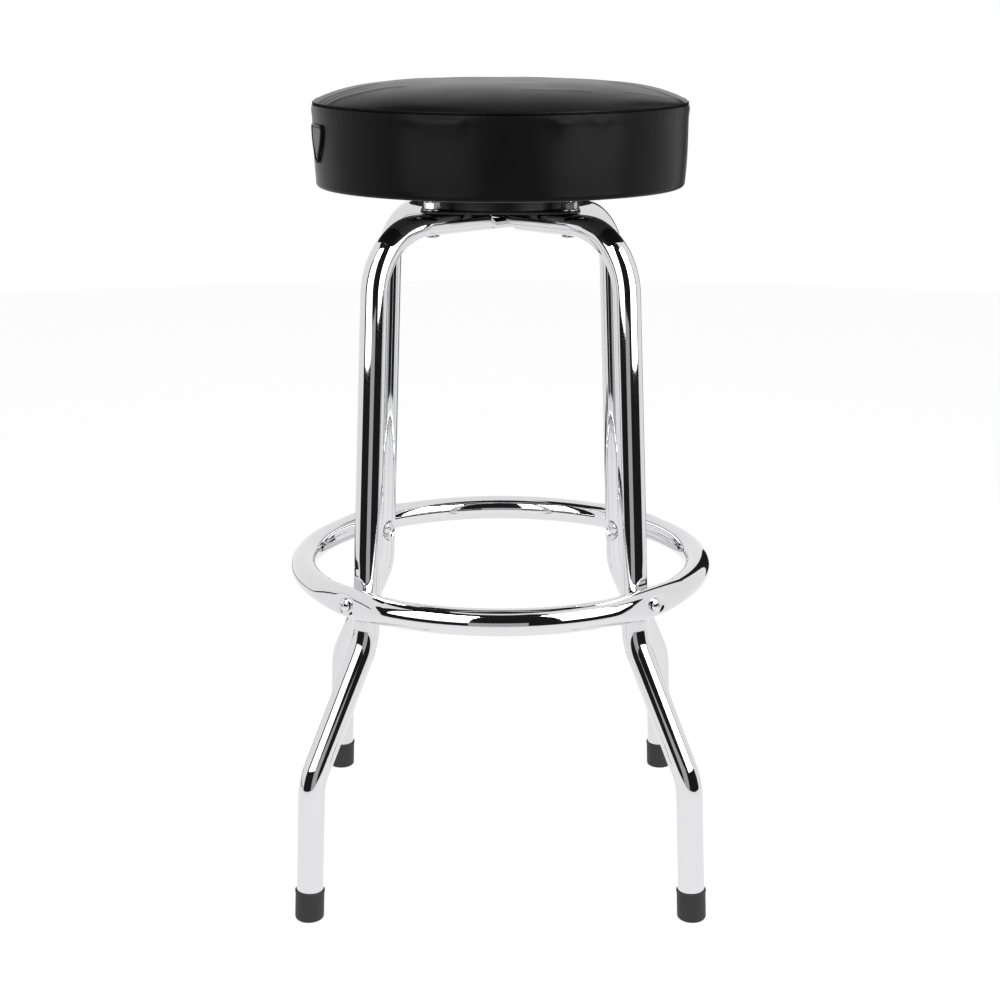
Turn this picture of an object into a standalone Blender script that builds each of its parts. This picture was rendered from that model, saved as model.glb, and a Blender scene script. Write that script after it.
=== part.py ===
"""Bar stool: a round padded seat on a ball-bearing swivel, carried by two bent tubes
that cross under it and are tied together by a foot ring. Metres, +Z up, the front
towards -Y. The origin is on the floor, under the middle of the seat."""
import math

import bmesh
import bpy
from mathutils import Matrix, Vector

# Fits
GAP = 0.0003
OVERRUN = 0.005
BOLT_PLAY = 0.0004

# Leg tubes: two inverted U bends, each in its own diagonal plane.
# A splay is how much farther out a corner lies than the corner above it.
TUBE_RADIUS = 0.0125
TUBE_WALL = 0.0015
FRAME_HEIGHT = 0.6433
KNEE_HEIGHT = 0.2543
ANKLE_HEIGHT = 0.1343
KNEE_SPLAY = 0.0214
ANKLE_SPLAY = 0.0686
FOOT_SPLAY = 0.0074
SHOULDER_BEND = 0.060
KNEE_BEND = 0.055
ANKLE_BEND = 0.055

# The top run of each tube is pressed flat, and dimpled where the tubes cross
FLAT_HEIGHT = 0.0199
FLAT_WIDTH = 0.0285
FLAT_PAST_BOLT = 0.0115
FLAT_RUNOUT = 0.030
CROSS_MARGIN = 0.002
CROSS_RUNOUT = 0.014
FLAT_ROUNDNESS_SHARE = 0.78

# Foot ring, and the pressed seats where it is screwed to the legs
RING_ABOVE_KNEE = 0.0423
RING_STANDOFF = 0.0185
RING_DIMPLE_DEPTH = 0.0050
RING_DIMPLE_REACH = 0.045
RING_DIMPLE_BULGE = 0.0020
LEG_DIMPLE_DEPTH = 0.0050
LEG_DIMPLE_REACH = 0.018
DIMPLE_FLAT_SHARE = 0.55
DIMPLE_ROUNDNESS_SHARE = 0.75

# Screws and sleeve nuts of the foot ring, square to the leaning legs
RING_SCREW_RADIUS = 0.003
RING_SCREW_DROP = 0.0010
RING_HEAD_RADIUS = 0.0063
RING_HEAD_HEIGHT = 0.0034
HEAD_EDGE = 0.0009
SLEEVE_WALL = 0.0011
SLEEVE_LENGTH = 0.0100
SLEEVE_HEAD_HEIGHT = 0.0032

# Rubber foot caps
CAP_WALL = 0.0011
CAP_FLOOR = 0.0030
CAP_HEIGHT = 0.0290
CAP_BEVEL = 0.0008

# Swivel: a lower plate with a raised ball track, and an upper tray whose neck
# passes through it and is rolled over below
PLATE_SHEET = 0.0020
RACE_RADIUS = 0.0620
BALL_RADIUS = 0.003175
BALL_COUNT = 10
TRACK_FLAT = 0.0012
TRACK_HALF = 0.0036
TRACK_DIP = 0.0010
RACE_LIFT = 0.0070
RIDGE_REACH = 0.0090
RIDGE_TOP = 0.0020
RIDGE_RISE = 0.0014
TRACK_FLOOR = 0.0140
NECK_PLAY = 0.0020
LIP_WIDTH = 0.0080
PLATE_MARGIN = 0.0010
PLATE_CORNER_POWER = 16
TRAY_LIFT = 0.00415
TRAY_OVERHANG = 0.0125
TRAY_CORNER_POWER = 8
TRAY_LIP = 0.0035
CAGE_HALF_WIDTH = 0.0024
CAGE_THICKNESS = 0.0010

# Bolts, washers and nuts that hold the lower plate on the tubes
BOLT_INSET = 0.0110
BOLT_RADIUS = 0.0040
BOLT_HEAD_RADIUS = 0.0065
BOLT_HEAD_HEIGHT = 0.0020
BOLT_HEAD_EDGE = 0.0005
WASHER_RADIUS = 0.0080
WASHER_THICKNESS = 0.0012
NUT_WIDTH = 0.0130
NUT_HEIGHT = 0.0065
BOLT_END = 0.0015

# Seat board and the screws that hold the tray under it
BOARD_THICKNESS = 0.0120
BOARD_INSET = 0.0095
SEAT_SCREW_INSET = 0.0175
SEAT_SCREW_RADIUS = 0.0024
SEAT_SCREW_HEAD = 0.0045
SEAT_SCREW_HEAD_HEIGHT = 0.0026
SEAT_SCREW_BITE = 0.0090

# Cushion: a crowned top panel, a side band that is drawn in towards the board,
# and a welt in the seam between them
SEAT_RADIUS = 0.1749
SEAM_HEIGHT = 0.0725
CROWN = 0.0224
COVER = 0.0012
WELT_RADIUS = 0.0014
HEM_WIDTH = 0.0370
HEM_ROUND = 0.0040
CROWN_POWER = 4.32
CROWN_EDGE_SHARE = 0.74
CROWN_SHARES = (0.0, 0.40, 0.62, 0.76, 0.86, 0.93, 0.975, 1.0)
# Height share of the band and radius share of the seat, from the seam down
BAND_SHARES = ((1.0, 0.9925), (0.93, 1.0), (0.82, 0.996), (0.55, 0.994), (0.28, 0.991), (0.0, 0.984))

# Small pouch sewn to the left side of the band
POUCH_AZIMUTH = math.radians(-71.5)
POUCH_WIDTH = 0.0350
POUCH_HEIGHT = 0.0320
POUCH_BELOW_SEAM = 0.0165
POUCH_SHEET = 0.0016
POUCH_BINDING = 0.0013
# Height share above the point and half-width share, from the mouth down
POUCH_SHARES = ((1.0, 0.90), (0.93, 1.0), (0.75, 0.97), (0.50, 0.78), (0.28, 0.52), (0.10, 0.26), (0.0, 0.08))

TUBE_SIDES = 12
BORE_SIDES = 6
RING_BORE_SIDES = 8
ROUND_SIDES = 12
PLATE_STEPS = 24
RING_BORE_STEPS = 48
CAGE_STEPS = 20
SEAT_STEPS = 40
FRONT_LEFT = math.radians(-135)
FRONT_RIGHT = math.radians(-45)
REAR_RIGHT = math.radians(45)
REAR_LEFT = math.radians(135)
CORNERS = (
    ("front_left", FRONT_LEFT),
    ("front_right", FRONT_RIGHT),
    ("rear_right", REAR_RIGHT),
    ("rear_left", REAR_LEFT),
)

# Sizes that follow from the ones above
flat_half = FLAT_HEIGHT / 2
run_height = FRAME_HEIGHT - flat_half
ridge_radius = RACE_RADIUS + RIDGE_REACH
plate_half = ridge_radius + PLATE_SHEET / 2 + PLATE_MARGIN
tray_half = plate_half + TRAY_OVERHANG
bolt_circle = (plate_half - BOLT_INSET) * math.sqrt(2)
screw_circle = (tray_half - SEAT_SCREW_INSET) * math.sqrt(2)
hole_radius = RACE_RADIUS - TRACK_FLOOR
plate_mid = FRAME_HEIGHT + GAP + PLATE_SHEET / 2
race_mid = plate_mid + RACE_LIFT
ball_height = race_mid - TRACK_DIP + PLATE_SHEET / 2 + GAP + BALL_RADIUS
upper_track_mid = ball_height + BALL_RADIUS + GAP + PLATE_SHEET / 2
tray_mid = upper_track_mid + TRAY_LIFT
tray_top = tray_mid + PLATE_SHEET / 2
washer_bottom = plate_mid + PLATE_SHEET / 2 + GAP
nut_bottom = washer_bottom + WASHER_THICKNESS + GAP
bolt_end = nut_bottom + NUT_HEIGHT + BOLT_END
board_bottom = tray_top + GAP
hem_top = board_bottom - GAP
hem_bottom = hem_top - COVER
seam_z = board_bottom + SEAM_HEIGHT


def lerp(a, b, share):
    return a + (b - a) * share


def ease(share):
    """A smooth step from 0 to 1."""
    share = min(max(share, 0), 1)
    return share * share * (3 - 2 * share)


def outward(azimuth):
    return Vector((math.cos(azimuth), math.sin(azimuth), 0))


def material(name, colour, roughness, metallic=0.0):
    made = bpy.data.materials.new(name)
    made.use_nodes = True
    shader = made.node_tree.nodes["Principled BSDF"]
    shader.inputs["Base Color"].default_value = (*colour, 1)
    shader.inputs["Roughness"].default_value = roughness
    shader.inputs["Metallic"].default_value = metallic
    return made


def add_object(name, mesh, look=None, parent=None):
    placed = bpy.data.objects.new(name, mesh)
    bpy.context.scene.collection.objects.link(placed)
    if look is not None:
        mesh.materials.clear()
        mesh.materials.append(look)
    placed.parent = parent
    return placed


def finish_mesh(name, shape, sharp=math.radians(35)):
    bmesh.ops.recalc_face_normals(shape, faces=shape.faces)
    mesh = bpy.data.meshes.new(name)
    shape.to_mesh(mesh)
    shape.free()
    mesh.shade_smooth()
    mesh.set_sharp_from_angle(angle=sharp)
    return mesh


def ring_edges(shape, ring):
    return [shape.edges.get((ring[i - 1], ring[i])) for i in range(len(ring))]


def extrude_ring(shape, ring, places):
    """Extrude a closed ring of vertices to new places and return the new ring."""
    made = bmesh.ops.extrude_edge_only(shape, edges=ring_edges(shape, ring))["geom"]
    fresh = {item for item in made if isinstance(item, bmesh.types.BMVert)}
    grown = []
    for vert, place in zip(ring, places):
        partner = next(e.other_vert(vert) for e in vert.link_edges if e.other_vert(vert) in fresh)
        partner.co = place
        grown.append(partner)
    return grown


def sweep(shape, stations, sides, closed=False):
    """Skin a row of cross-sections. Each station maps an angle to a place."""
    angles = [math.tau * i / sides for i in range(sides)]
    first = bmesh.ops.create_circle(shape, segments=sides, radius=TUBE_RADIUS)["verts"]
    for vert, angle in zip(first, angles):
        vert.co = stations[0](angle)
    ring = first
    for station in stations[1:]:
        ring = extrude_ring(shape, ring, [station(angle) for angle in angles])
    if closed:
        ring = extrude_ring(shape, ring, [stations[0](angle) for angle in angles])
        bmesh.ops.weld_verts(shape, targetmap=dict(zip(ring, first)))
    return first, ring


def section(centre, out, side, low, high, half_width, roundness):
    """One cross-section: low and high are its reach along out, roundness 1 is an ellipse."""
    middle = (low + high) / 2
    half = (high - low) / 2

    def place(angle):
        c, s = math.cos(angle), math.sin(angle)
        across = half_width * math.copysign(abs(c) ** roundness, c)
        along = middle + half * math.copysign(abs(s) ** roundness, s)
        return centre + side * across + out * along

    return place


def turned(outline, steps=SEAT_STEPS):
    """Spin a closed outline of (radius, height) points round Z."""
    shape = bmesh.new()
    verts = [shape.verts.new((radius, 0, height)) for radius, height in outline]
    edges = []
    for i, vert in enumerate(verts):
        if not (verts[i - 1].co.x == 0 and vert.co.x == 0):
            edges.append(shape.edges.new((verts[i - 1], vert)))
    bmesh.ops.spin(shape, geom=verts + edges, cent=(0, 0, 0), axis=(0, 0, 1), angle=math.tau,
                   steps=steps, use_merge=True)
    poles = [vert for vert in shape.verts if math.hypot(vert.co.x, vert.co.y) < GAP / 100]
    bmesh.ops.remove_doubles(shape, verts=poles, dist=GAP / 100)
    return shape


def sheet_outline(line, sheet):
    """The closed outline of a bent sheet, from the centre line of its section."""
    points = [Vector(point) for point in line]
    near, far = [], []
    for i, point in enumerate(points):
        before = (point - points[i - 1]).normalized() if i else None
        after = (points[i + 1] - point).normalized() if i + 1 < len(points) else None
        before = before or after
        after = after or before
        normal = Vector((-before.y - after.y, before.x + after.x)).normalized()
        reach = sheet / 2 / normal.dot(Vector((-before.y, before.x)))
        near.append(point + normal * reach)
        far.append(point - normal * reach)
    return near + far[::-1]


def square_off(shape, from_radius, power):
    """Turn every circle outside from_radius into a square with rounded corners."""
    for vert in shape.verts:
        radius = math.hypot(vert.co.x, vert.co.y)
        if radius > from_radius:
            c, s = abs(vert.co.x) / radius, abs(vert.co.y) / radius
            stretch = (c ** power + s ** power) ** (-1 / power)
            vert.co.x *= stretch
            vert.co.y *= stretch


def cylinder(shape, radius, start, end, sides=ROUND_SIDES):
    """Add a capped cylinder from start to end."""
    axis = end - start
    turn = Vector((0, 0, 1)).rotation_difference(axis).to_matrix().to_4x4()
    place = Matrix.Translation((start + end) / 2) @ turn
    bmesh.ops.create_cone(shape, cap_ends=True, segments=sides, radius1=radius, radius2=radius,
                          depth=axis.length, matrix=place)


def cut(target, name, shape, operation="DIFFERENCE"):
    """Apply a hidden tool body to the target with a Boolean."""
    tool = add_object(name, finish_mesh(name, shape))
    tool.hide_render = True
    tool.display_type = "WIRE"
    modifier = target.modifiers.new(name, "BOOLEAN")
    modifier.operation = operation
    modifier.object = tool


# Leg path
def leg_corners():
    """Corners of half a leg in its plane, as (radius, height), from the crossing out and down."""
    fall = run_height - KNEE_HEIGHT
    turn = math.pi / 2 - math.atan2(KNEE_SPLAY, fall)
    shoulder = bolt_circle + FLAT_PAST_BOLT + SHOULDER_BEND * math.tan(turn / 2)
    knee = shoulder + KNEE_SPLAY
    ankle = knee + ANKLE_SPLAY
    foot = ankle + FOOT_SPLAY
    ankle_point = Vector((ankle, ANKLE_HEIGHT))
    floor_point = Vector((foot, 0))
    tube_end = floor_point + (ankle_point - floor_point).normalized() * (CAP_FLOOR + GAP)
    return (
        Vector((0, run_height)),
        Vector((shoulder, run_height)),
        Vector((knee, KNEE_HEIGHT)),
        ankle_point,
        tube_end,
        floor_point,
    )


def ring_height():
    return KNEE_HEIGHT + RING_ABOVE_KNEE


def leg_radius_at_ring():
    shoulder, knee = leg_corners()[1:3]
    return lerp(knee.x, shoulder.x, RING_ABOVE_KNEE / (shoulder.y - knee.y))


def ring_radius():
    return leg_radius_at_ring() + RING_STANDOFF


def leg_lean():
    return math.atan2(KNEE_SPLAY, run_height - KNEE_HEIGHT)


def screw_point(azimuth, reach):
    """A place on a ring screw's line, that far outside the middle of the ring's tube."""
    out = outward(azimuth)
    middle = out * ring_radius() + Vector((0, 0, ring_height() - RING_SCREW_DROP))
    return middle + (out * math.cos(leg_lean()) + Vector((0, 0, math.sin(leg_lean())))) * reach


def screw_to_leg():
    """How far the leg's middle lies inside the middle of the ring's tube, along the screw."""
    return RING_STANDOFF * math.cos(leg_lean()) - RING_SCREW_DROP * math.sin(leg_lean())


def bend(corner, before, after, radius, steps):
    """Points and tangents of a round bend that replaces a corner."""
    into = (corner - before).normalized()
    out = (after - corner).normalized()
    turn = into.angle_signed(out)
    tangent_length = radius * math.tan(abs(turn) / 2)
    side = Vector((-into.y, into.x)) * (1 if turn < 0 else -1)
    centre = corner - into * tangent_length + side * radius
    points = []
    for i in range(steps + 1):
        angle = -turn * i / steps
        c, s = math.cos(angle), math.sin(angle)
        tangent = Vector((into.x * c - into.y * s, into.x * s + into.y * c))
        arm = -side * radius
        points.append((centre + Vector((arm.x * c - arm.y * s, arm.x * s + arm.y * c)), tangent))
    return points


def half_leg_path():
    """Points and tangents down one half of a leg tube, from beside the crossing to the foot."""
    middle, shoulder, knee, ankle, end, _ = leg_corners()
    level = Vector((1, 0))
    cross_half = FLAT_WIDTH / 2 + CROSS_MARGIN
    path = [(Vector((cross_half + CROSS_RUNOUT * share, run_height)), level) for share in (0, 0.3, 0.7, 1)]
    path += bend(shoulder, middle, knee, SHOULDER_BEND, 7)
    down = (knee - shoulder).normalized()
    seat = Vector((leg_radius_at_ring(), ring_height()))
    spread = (-1, -0.7, -DIMPLE_FLAT_SHARE, -0.3, 0, 0.3, DIMPLE_FLAT_SHARE, 0.7, 1)
    path += [(seat + down * LEG_DIMPLE_REACH * share, down) for share in spread]
    path += bend(knee, shoulder, ankle, KNEE_BEND, 3)
    path += bend(ankle, knee, end, ANKLE_BEND, 3)
    path.append((end, (end - ankle).normalized()))
    return path


def saddle_reach(point, out, half_width):
    """How far the leg's outer face may reach before it meets the foot ring."""
    ring_line = math.sqrt(ring_radius() ** 2 - half_width ** 2)
    to_ring = Vector((ring_line, ring_height())) - point
    along = to_ring.dot(out)
    beside = to_ring.length_squared - along ** 2
    clear = TUBE_RADIUS + GAP
    if beside >= clear ** 2 or to_ring.length > clear + 2 * TUBE_RADIUS:
        return TUBE_RADIUS
    return min(TUBE_RADIUS, along - math.sqrt(clear ** 2 - beside))


def leg_section(point, tangent, sign, plane, upper, inset):
    """The tube's cross-section at one point of its path, inset by the wall for its bore."""
    out = Vector((-tangent.y, tangent.x))
    bolt_end_radius = bolt_circle + FLAT_PAST_BOLT
    past_flat = point.x - bolt_end_radius if point.y > KNEE_HEIGHT + FLAT_RUNOUT else FLAT_RUNOUT
    flat = 1 - ease(past_flat / FLAT_RUNOUT)
    if point.y < run_height - FLAT_RUNOUT:
        flat = 0
    half_width = lerp(TUBE_RADIUS, FLAT_WIDTH / 2, flat)
    high = lerp(TUBE_RADIUS, flat_half, flat)
    low = -high
    roundness = lerp(1, FLAT_ROUNDNESS_SHARE, flat)
    crossing = 1 - ease((point.x - FLAT_WIDTH / 2 - CROSS_MARGIN) / CROSS_RUNOUT)
    if flat and crossing > 0 and upper:
        low = lerp(low, GAP / 2, crossing)
    if flat and crossing > 0 and not upper:
        high = lerp(high, -GAP / 2, crossing)
    from_ring = abs(point.y - ring_height()) / LEG_DIMPLE_REACH
    if from_ring < 1:
        pressed = 1 - ease((from_ring - DIMPLE_FLAT_SHARE) / (1 - DIMPLE_FLAT_SHARE))
        roundness = lerp(1, DIMPLE_ROUNDNESS_SHARE, pressed)
        low += LEG_DIMPLE_DEPTH * pressed
        high = saddle_reach(point, out, half_width)
    side = Vector((0, 0, 1)).cross(plane)
    centre = plane * (point.x * sign) + Vector((0, 0, point.y))
    outer = plane * (out.x * sign) + Vector((0, 0, out.y))
    return section(centre, outer, side, low + inset, high - inset, half_width - inset, roundness)


def leg_stations(plane, upper, inset):
    path = half_leg_path()
    middle = (Vector((0, run_height)), Vector((1, 0)))
    stations = [leg_section(*step, -1, plane, upper, inset) for step in reversed(path)]
    stations.append(leg_section(*middle, 1, plane, upper, inset))
    stations += [leg_section(*step, 1, plane, upper, inset) for step in path]
    return stations


def leg_tube(name, azimuth, upper, look):
    """One bent tube: a foot at each end, the flattened run with its crossing dimple on top."""
    plane = outward(azimuth)
    shape = bmesh.new()
    skin_ends = sweep(shape, leg_stations(plane, upper, 0), TUBE_SIDES)
    bore_ends = sweep(shape, leg_stations(plane, upper, TUBE_WALL), BORE_SIDES)
    for skin_end, bore_end in zip(skin_ends, bore_ends):
        edges = ring_edges(shape, skin_end) + ring_edges(shape, bore_end)
        bmesh.ops.triangle_fill(shape, edges=edges, use_beauty=True)
    leg = add_object(name, finish_mesh(name, shape), look)
    holes = bmesh.new()
    for sign in (-1, 1):
        bolt = plane * (bolt_circle * sign)
        above = Vector((0, 0, FRAME_HEIGHT + OVERRUN))
        below = Vector((0, 0, FRAME_HEIGHT - FLAT_HEIGHT - OVERRUN))
        cylinder(holes, BOLT_RADIUS + BOLT_PLAY, bolt + below, bolt + above)
        corner = azimuth if sign > 0 else azimuth + math.pi
        inside = screw_point(corner, -screw_to_leg() - TUBE_RADIUS - OVERRUN)
        outside = screw_point(corner, -TUBE_RADIUS / 2)
        hole = RING_SCREW_RADIUS + SLEEVE_WALL + 2 * GAP
        cylinder(holes, hole, inside, outside)
    cut(leg, name + "_holes", holes)


# Foot ring
def ring_station(turn, inset):
    """The ring's cross-section at one angle. A screw's flat makes it thinner and taller."""
    nearest = min(abs(math.remainder(turn - corner, math.tau)) for _, corner in CORNERS)
    pressed = max(1 - (ring_radius() * nearest / RING_DIMPLE_REACH) ** 2, 0)
    out = outward(turn)
    centre = out * ring_radius() + Vector((0, 0, ring_height()))
    radius = TUBE_RADIUS - inset

    def place(angle):
        along, up = math.sin(angle), math.cos(angle)
        bulge = RING_DIMPLE_BULGE * pressed * ease(2 * along + 1)
        reach = min(radius * along, radius - RING_DIMPLE_DEPTH * pressed)
        return centre + out * reach + Vector((0, 0, up * (radius + bulge)))

    return place


def foot_ring(look):
    """A closed tube ring, pressed flat on its outer side under each screw head."""
    dimple_turn = RING_DIMPLE_REACH / ring_radius()
    spread = (-1, -0.7, -0.35, 0, 0.35, 0.7, 1)
    plain_steps = 6
    stations = []
    for _, corner in CORNERS:
        stations += [ring_station(corner + dimple_turn * share, 0) for share in spread]
        plain_turn = (math.pi / 2 - 2 * dimple_turn) / (plain_steps + 1)
        for i in range(plain_steps):
            stations.append(ring_station(corner + dimple_turn + plain_turn * (i + 1), 0))
    shape = bmesh.new()
    sweep(shape, stations, TUBE_SIDES, closed=True)
    ring = add_object("foot_ring", finish_mesh("foot_ring", shape), look)
    holes = bmesh.new()
    for _, corner in CORNERS:
        inside = screw_point(corner, -TUBE_RADIUS - OVERRUN)
        outside = screw_point(corner, TUBE_RADIUS + OVERRUN)
        cylinder(holes, RING_SCREW_RADIUS + BOLT_PLAY, inside, outside)
    cut(ring, "foot_ring_holes", holes)
    bore = bmesh.new()
    turns = [math.tau * i / RING_BORE_STEPS for i in range(RING_BORE_STEPS)]
    sweep(bore, [ring_station(turn, TUBE_WALL) for turn in turns], RING_BORE_SIDES, closed=True)
    cut(ring, "foot_ring_bore", bore)


def on_screw_line(placed, azimuth):
    """Lay a turned piece on a ring screw's line: its own Z points away from the stool's axis."""
    placed.rotation_euler = (0, math.pi / 2 - leg_lean(), azimuth)
    placed.location = screw_point(azimuth, 0)


def ring_fasteners(look):
    """Four domed screws from outside and four sleeve nuts from inside the legs."""
    seat = TUBE_RADIUS - RING_DIMPLE_DEPTH + RING_HEAD_RADIUS * math.tan(leg_lean()) + GAP
    nut_seat = LEG_DIMPLE_DEPTH - TUBE_RADIUS - screw_to_leg() - GAP
    sleeve_end = nut_seat + SLEEVE_LENGTH
    screw_end = nut_seat + GAP
    screw_outline = (
        (0, screw_end),
        (RING_SCREW_RADIUS, screw_end),
        (RING_SCREW_RADIUS, seat),
        (RING_HEAD_RADIUS, seat),
        (RING_HEAD_RADIUS, seat + HEAD_EDGE),
        (RING_HEAD_RADIUS * 0.7, seat + lerp(HEAD_EDGE, RING_HEAD_HEIGHT, 0.7)),
        (0, seat + RING_HEAD_HEIGHT),
    )
    bore = RING_SCREW_RADIUS + GAP
    sleeve_outline = (
        (0, nut_seat - SLEEVE_HEAD_HEIGHT),
        (RING_HEAD_RADIUS * 0.7, nut_seat - lerp(HEAD_EDGE, SLEEVE_HEAD_HEIGHT, 0.7)),
        (RING_HEAD_RADIUS, nut_seat - HEAD_EDGE),
        (RING_HEAD_RADIUS, nut_seat),
        (bore + SLEEVE_WALL, nut_seat),
        (bore + SLEEVE_WALL, sleeve_end),
        (bore, sleeve_end),
        (bore, nut_seat),
        (0, nut_seat),
    )
    screw_mesh = finish_mesh("ring_screw", turned(screw_outline, ROUND_SIDES))
    nut_mesh = finish_mesh("ring_sleeve_nut", turned(sleeve_outline, ROUND_SIDES))
    for corner, azimuth in CORNERS:
        on_screw_line(add_object("ring_screw_" + corner, screw_mesh, look), azimuth)
        on_screw_line(add_object("ring_sleeve_nut_" + corner, nut_mesh, look), azimuth)


def foot_caps(look):
    """Rubber caps in line with the splayed tube ends, cut level at the floor."""
    ankle, _, floor_point = leg_corners()[3:]
    lean = math.atan2(FOOT_SPLAY, ANKLE_HEIGHT)
    inner = TUBE_RADIUS + GAP
    outer = inner + CAP_WALL
    outline = (
        (0, 0),
        (outer - CAP_BEVEL, 0),
        (outer, CAP_BEVEL),
        (outer, CAP_HEIGHT - CAP_BEVEL),
        (outer - CAP_WALL / 2, CAP_HEIGHT),
        (inner, CAP_HEIGHT),
        (inner, CAP_FLOOR),
        (0, CAP_FLOOR),
    )
    shape = turned(outline, 16)
    for vert in shape.verts:
        if vert.co.z == 0:
            vert.co.z = -vert.co.x * math.tan(lean)
    mesh = finish_mesh("foot_cap", shape)
    for corner, azimuth in CORNERS:
        cap = add_object("foot_cap_" + corner, mesh, look)
        cap.rotation_euler = (0, -lean, azimuth)
        cap.location = outward(azimuth) * floor_point.x


# Swivel
def lower_plate(look):
    """Pressed plate with the raised lower ball track, bolted on the tubes."""
    line = (
        (hole_radius, race_mid),
        (RACE_RADIUS - TRACK_HALF, race_mid),
        (RACE_RADIUS - TRACK_FLAT, race_mid - TRACK_DIP),
        (RACE_RADIUS + TRACK_FLAT, race_mid - TRACK_DIP),
        (RACE_RADIUS + TRACK_HALF, race_mid),
        (ridge_radius - RIDGE_TOP, race_mid + RIDGE_RISE),
        (ridge_radius, race_mid + RIDGE_RISE),
        (ridge_radius, plate_mid),
        (plate_half, plate_mid),
    )
    shape = turned(sheet_outline(line, PLATE_SHEET), PLATE_STEPS)
    square_off(shape, ridge_radius + PLATE_SHEET / 2 + GAP, PLATE_CORNER_POWER)
    plate = add_object("swivel_lower_plate", finish_mesh("swivel_lower_plate", shape), look)
    holes = bmesh.new()
    for _, azimuth in CORNERS:
        centre = outward(azimuth) * bolt_circle
        below = Vector((0, 0, plate_mid - OVERRUN))
        above = Vector((0, 0, plate_mid + OVERRUN))
        cylinder(holes, BOLT_RADIUS + BOLT_PLAY, centre + below, centre + above)
    cut(plate, "swivel_lower_plate_holes", holes)


def ball_cage(look, axis):
    """The ring of balls in its retainer, which rolls round at half the seat's speed."""
    half = CAGE_THICKNESS / 2
    outline = (
        (RACE_RADIUS - CAGE_HALF_WIDTH, ball_height - half),
        (RACE_RADIUS + CAGE_HALF_WIDTH, ball_height - half),
        (RACE_RADIUS + CAGE_HALF_WIDTH, ball_height + half),
        (RACE_RADIUS - CAGE_HALF_WIDTH, ball_height + half),
    )
    cage = add_object("ball_cage", finish_mesh("ball_cage", turned(outline, CAGE_STEPS)), look, axis)
    balls = bmesh.new()
    for i in range(BALL_COUNT):
        centre = outward(math.tau * i / BALL_COUNT) * RACE_RADIUS + Vector((0, 0, ball_height))
        place = Matrix.Translation(centre)
        bmesh.ops.create_uvsphere(balls, u_segments=6, v_segments=5, radius=BALL_RADIUS, matrix=place)
    cut(cage, "ball_cage_balls", balls, "UNION")


def upper_tray(look, axis):
    """Pressed tray under the seat: lip, upper ball track, and the neck rolled over below."""
    neck = hole_radius - NECK_PLAY - PLATE_SHEET / 2
    lip_mid = race_mid - PLATE_SHEET - GAP
    floor_mid = upper_track_mid - TRACK_DIP
    rim_mid = tray_half - PLATE_SHEET / 2
    line = (
        (neck + LIP_WIDTH, lip_mid),
        (neck, lip_mid),
        (neck, floor_mid),
        (RACE_RADIUS - TRACK_HALF, floor_mid),
        (RACE_RADIUS - TRACK_FLAT, upper_track_mid),
        (RACE_RADIUS + TRACK_FLAT, upper_track_mid),
        (RACE_RADIUS + TRACK_HALF, floor_mid),
        (ridge_radius - RIDGE_TOP, floor_mid),
        (ridge_radius + PLATE_SHEET / 2, tray_mid),
        (rim_mid, tray_mid),
        (rim_mid, tray_mid - TRAY_LIP),
    )
    shape = turned(sheet_outline(line, PLATE_SHEET), PLATE_STEPS)
    square_off(shape, plate_half, TRAY_CORNER_POWER)
    tray = add_object("swivel_upper_tray", finish_mesh("swivel_upper_tray", shape), look, axis)
    holes = bmesh.new()
    for _, azimuth in CORNERS:
        centre = outward(azimuth) * screw_circle
        below = Vector((0, 0, tray_mid - OVERRUN))
        above = Vector((0, 0, tray_mid + OVERRUN))
        cylinder(holes, SEAT_SCREW_RADIUS + BOLT_PLAY, centre + below, centre + above)
    cut(tray, "swivel_upper_tray_holes", holes)


def hexagon(shape, width, bottom, top):
    """Add an upright hexagonal prism, measured across its flats."""
    cylinder(shape, width / math.sqrt(3), Vector((0, 0, bottom)), Vector((0, 0, top)), 6)


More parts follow.
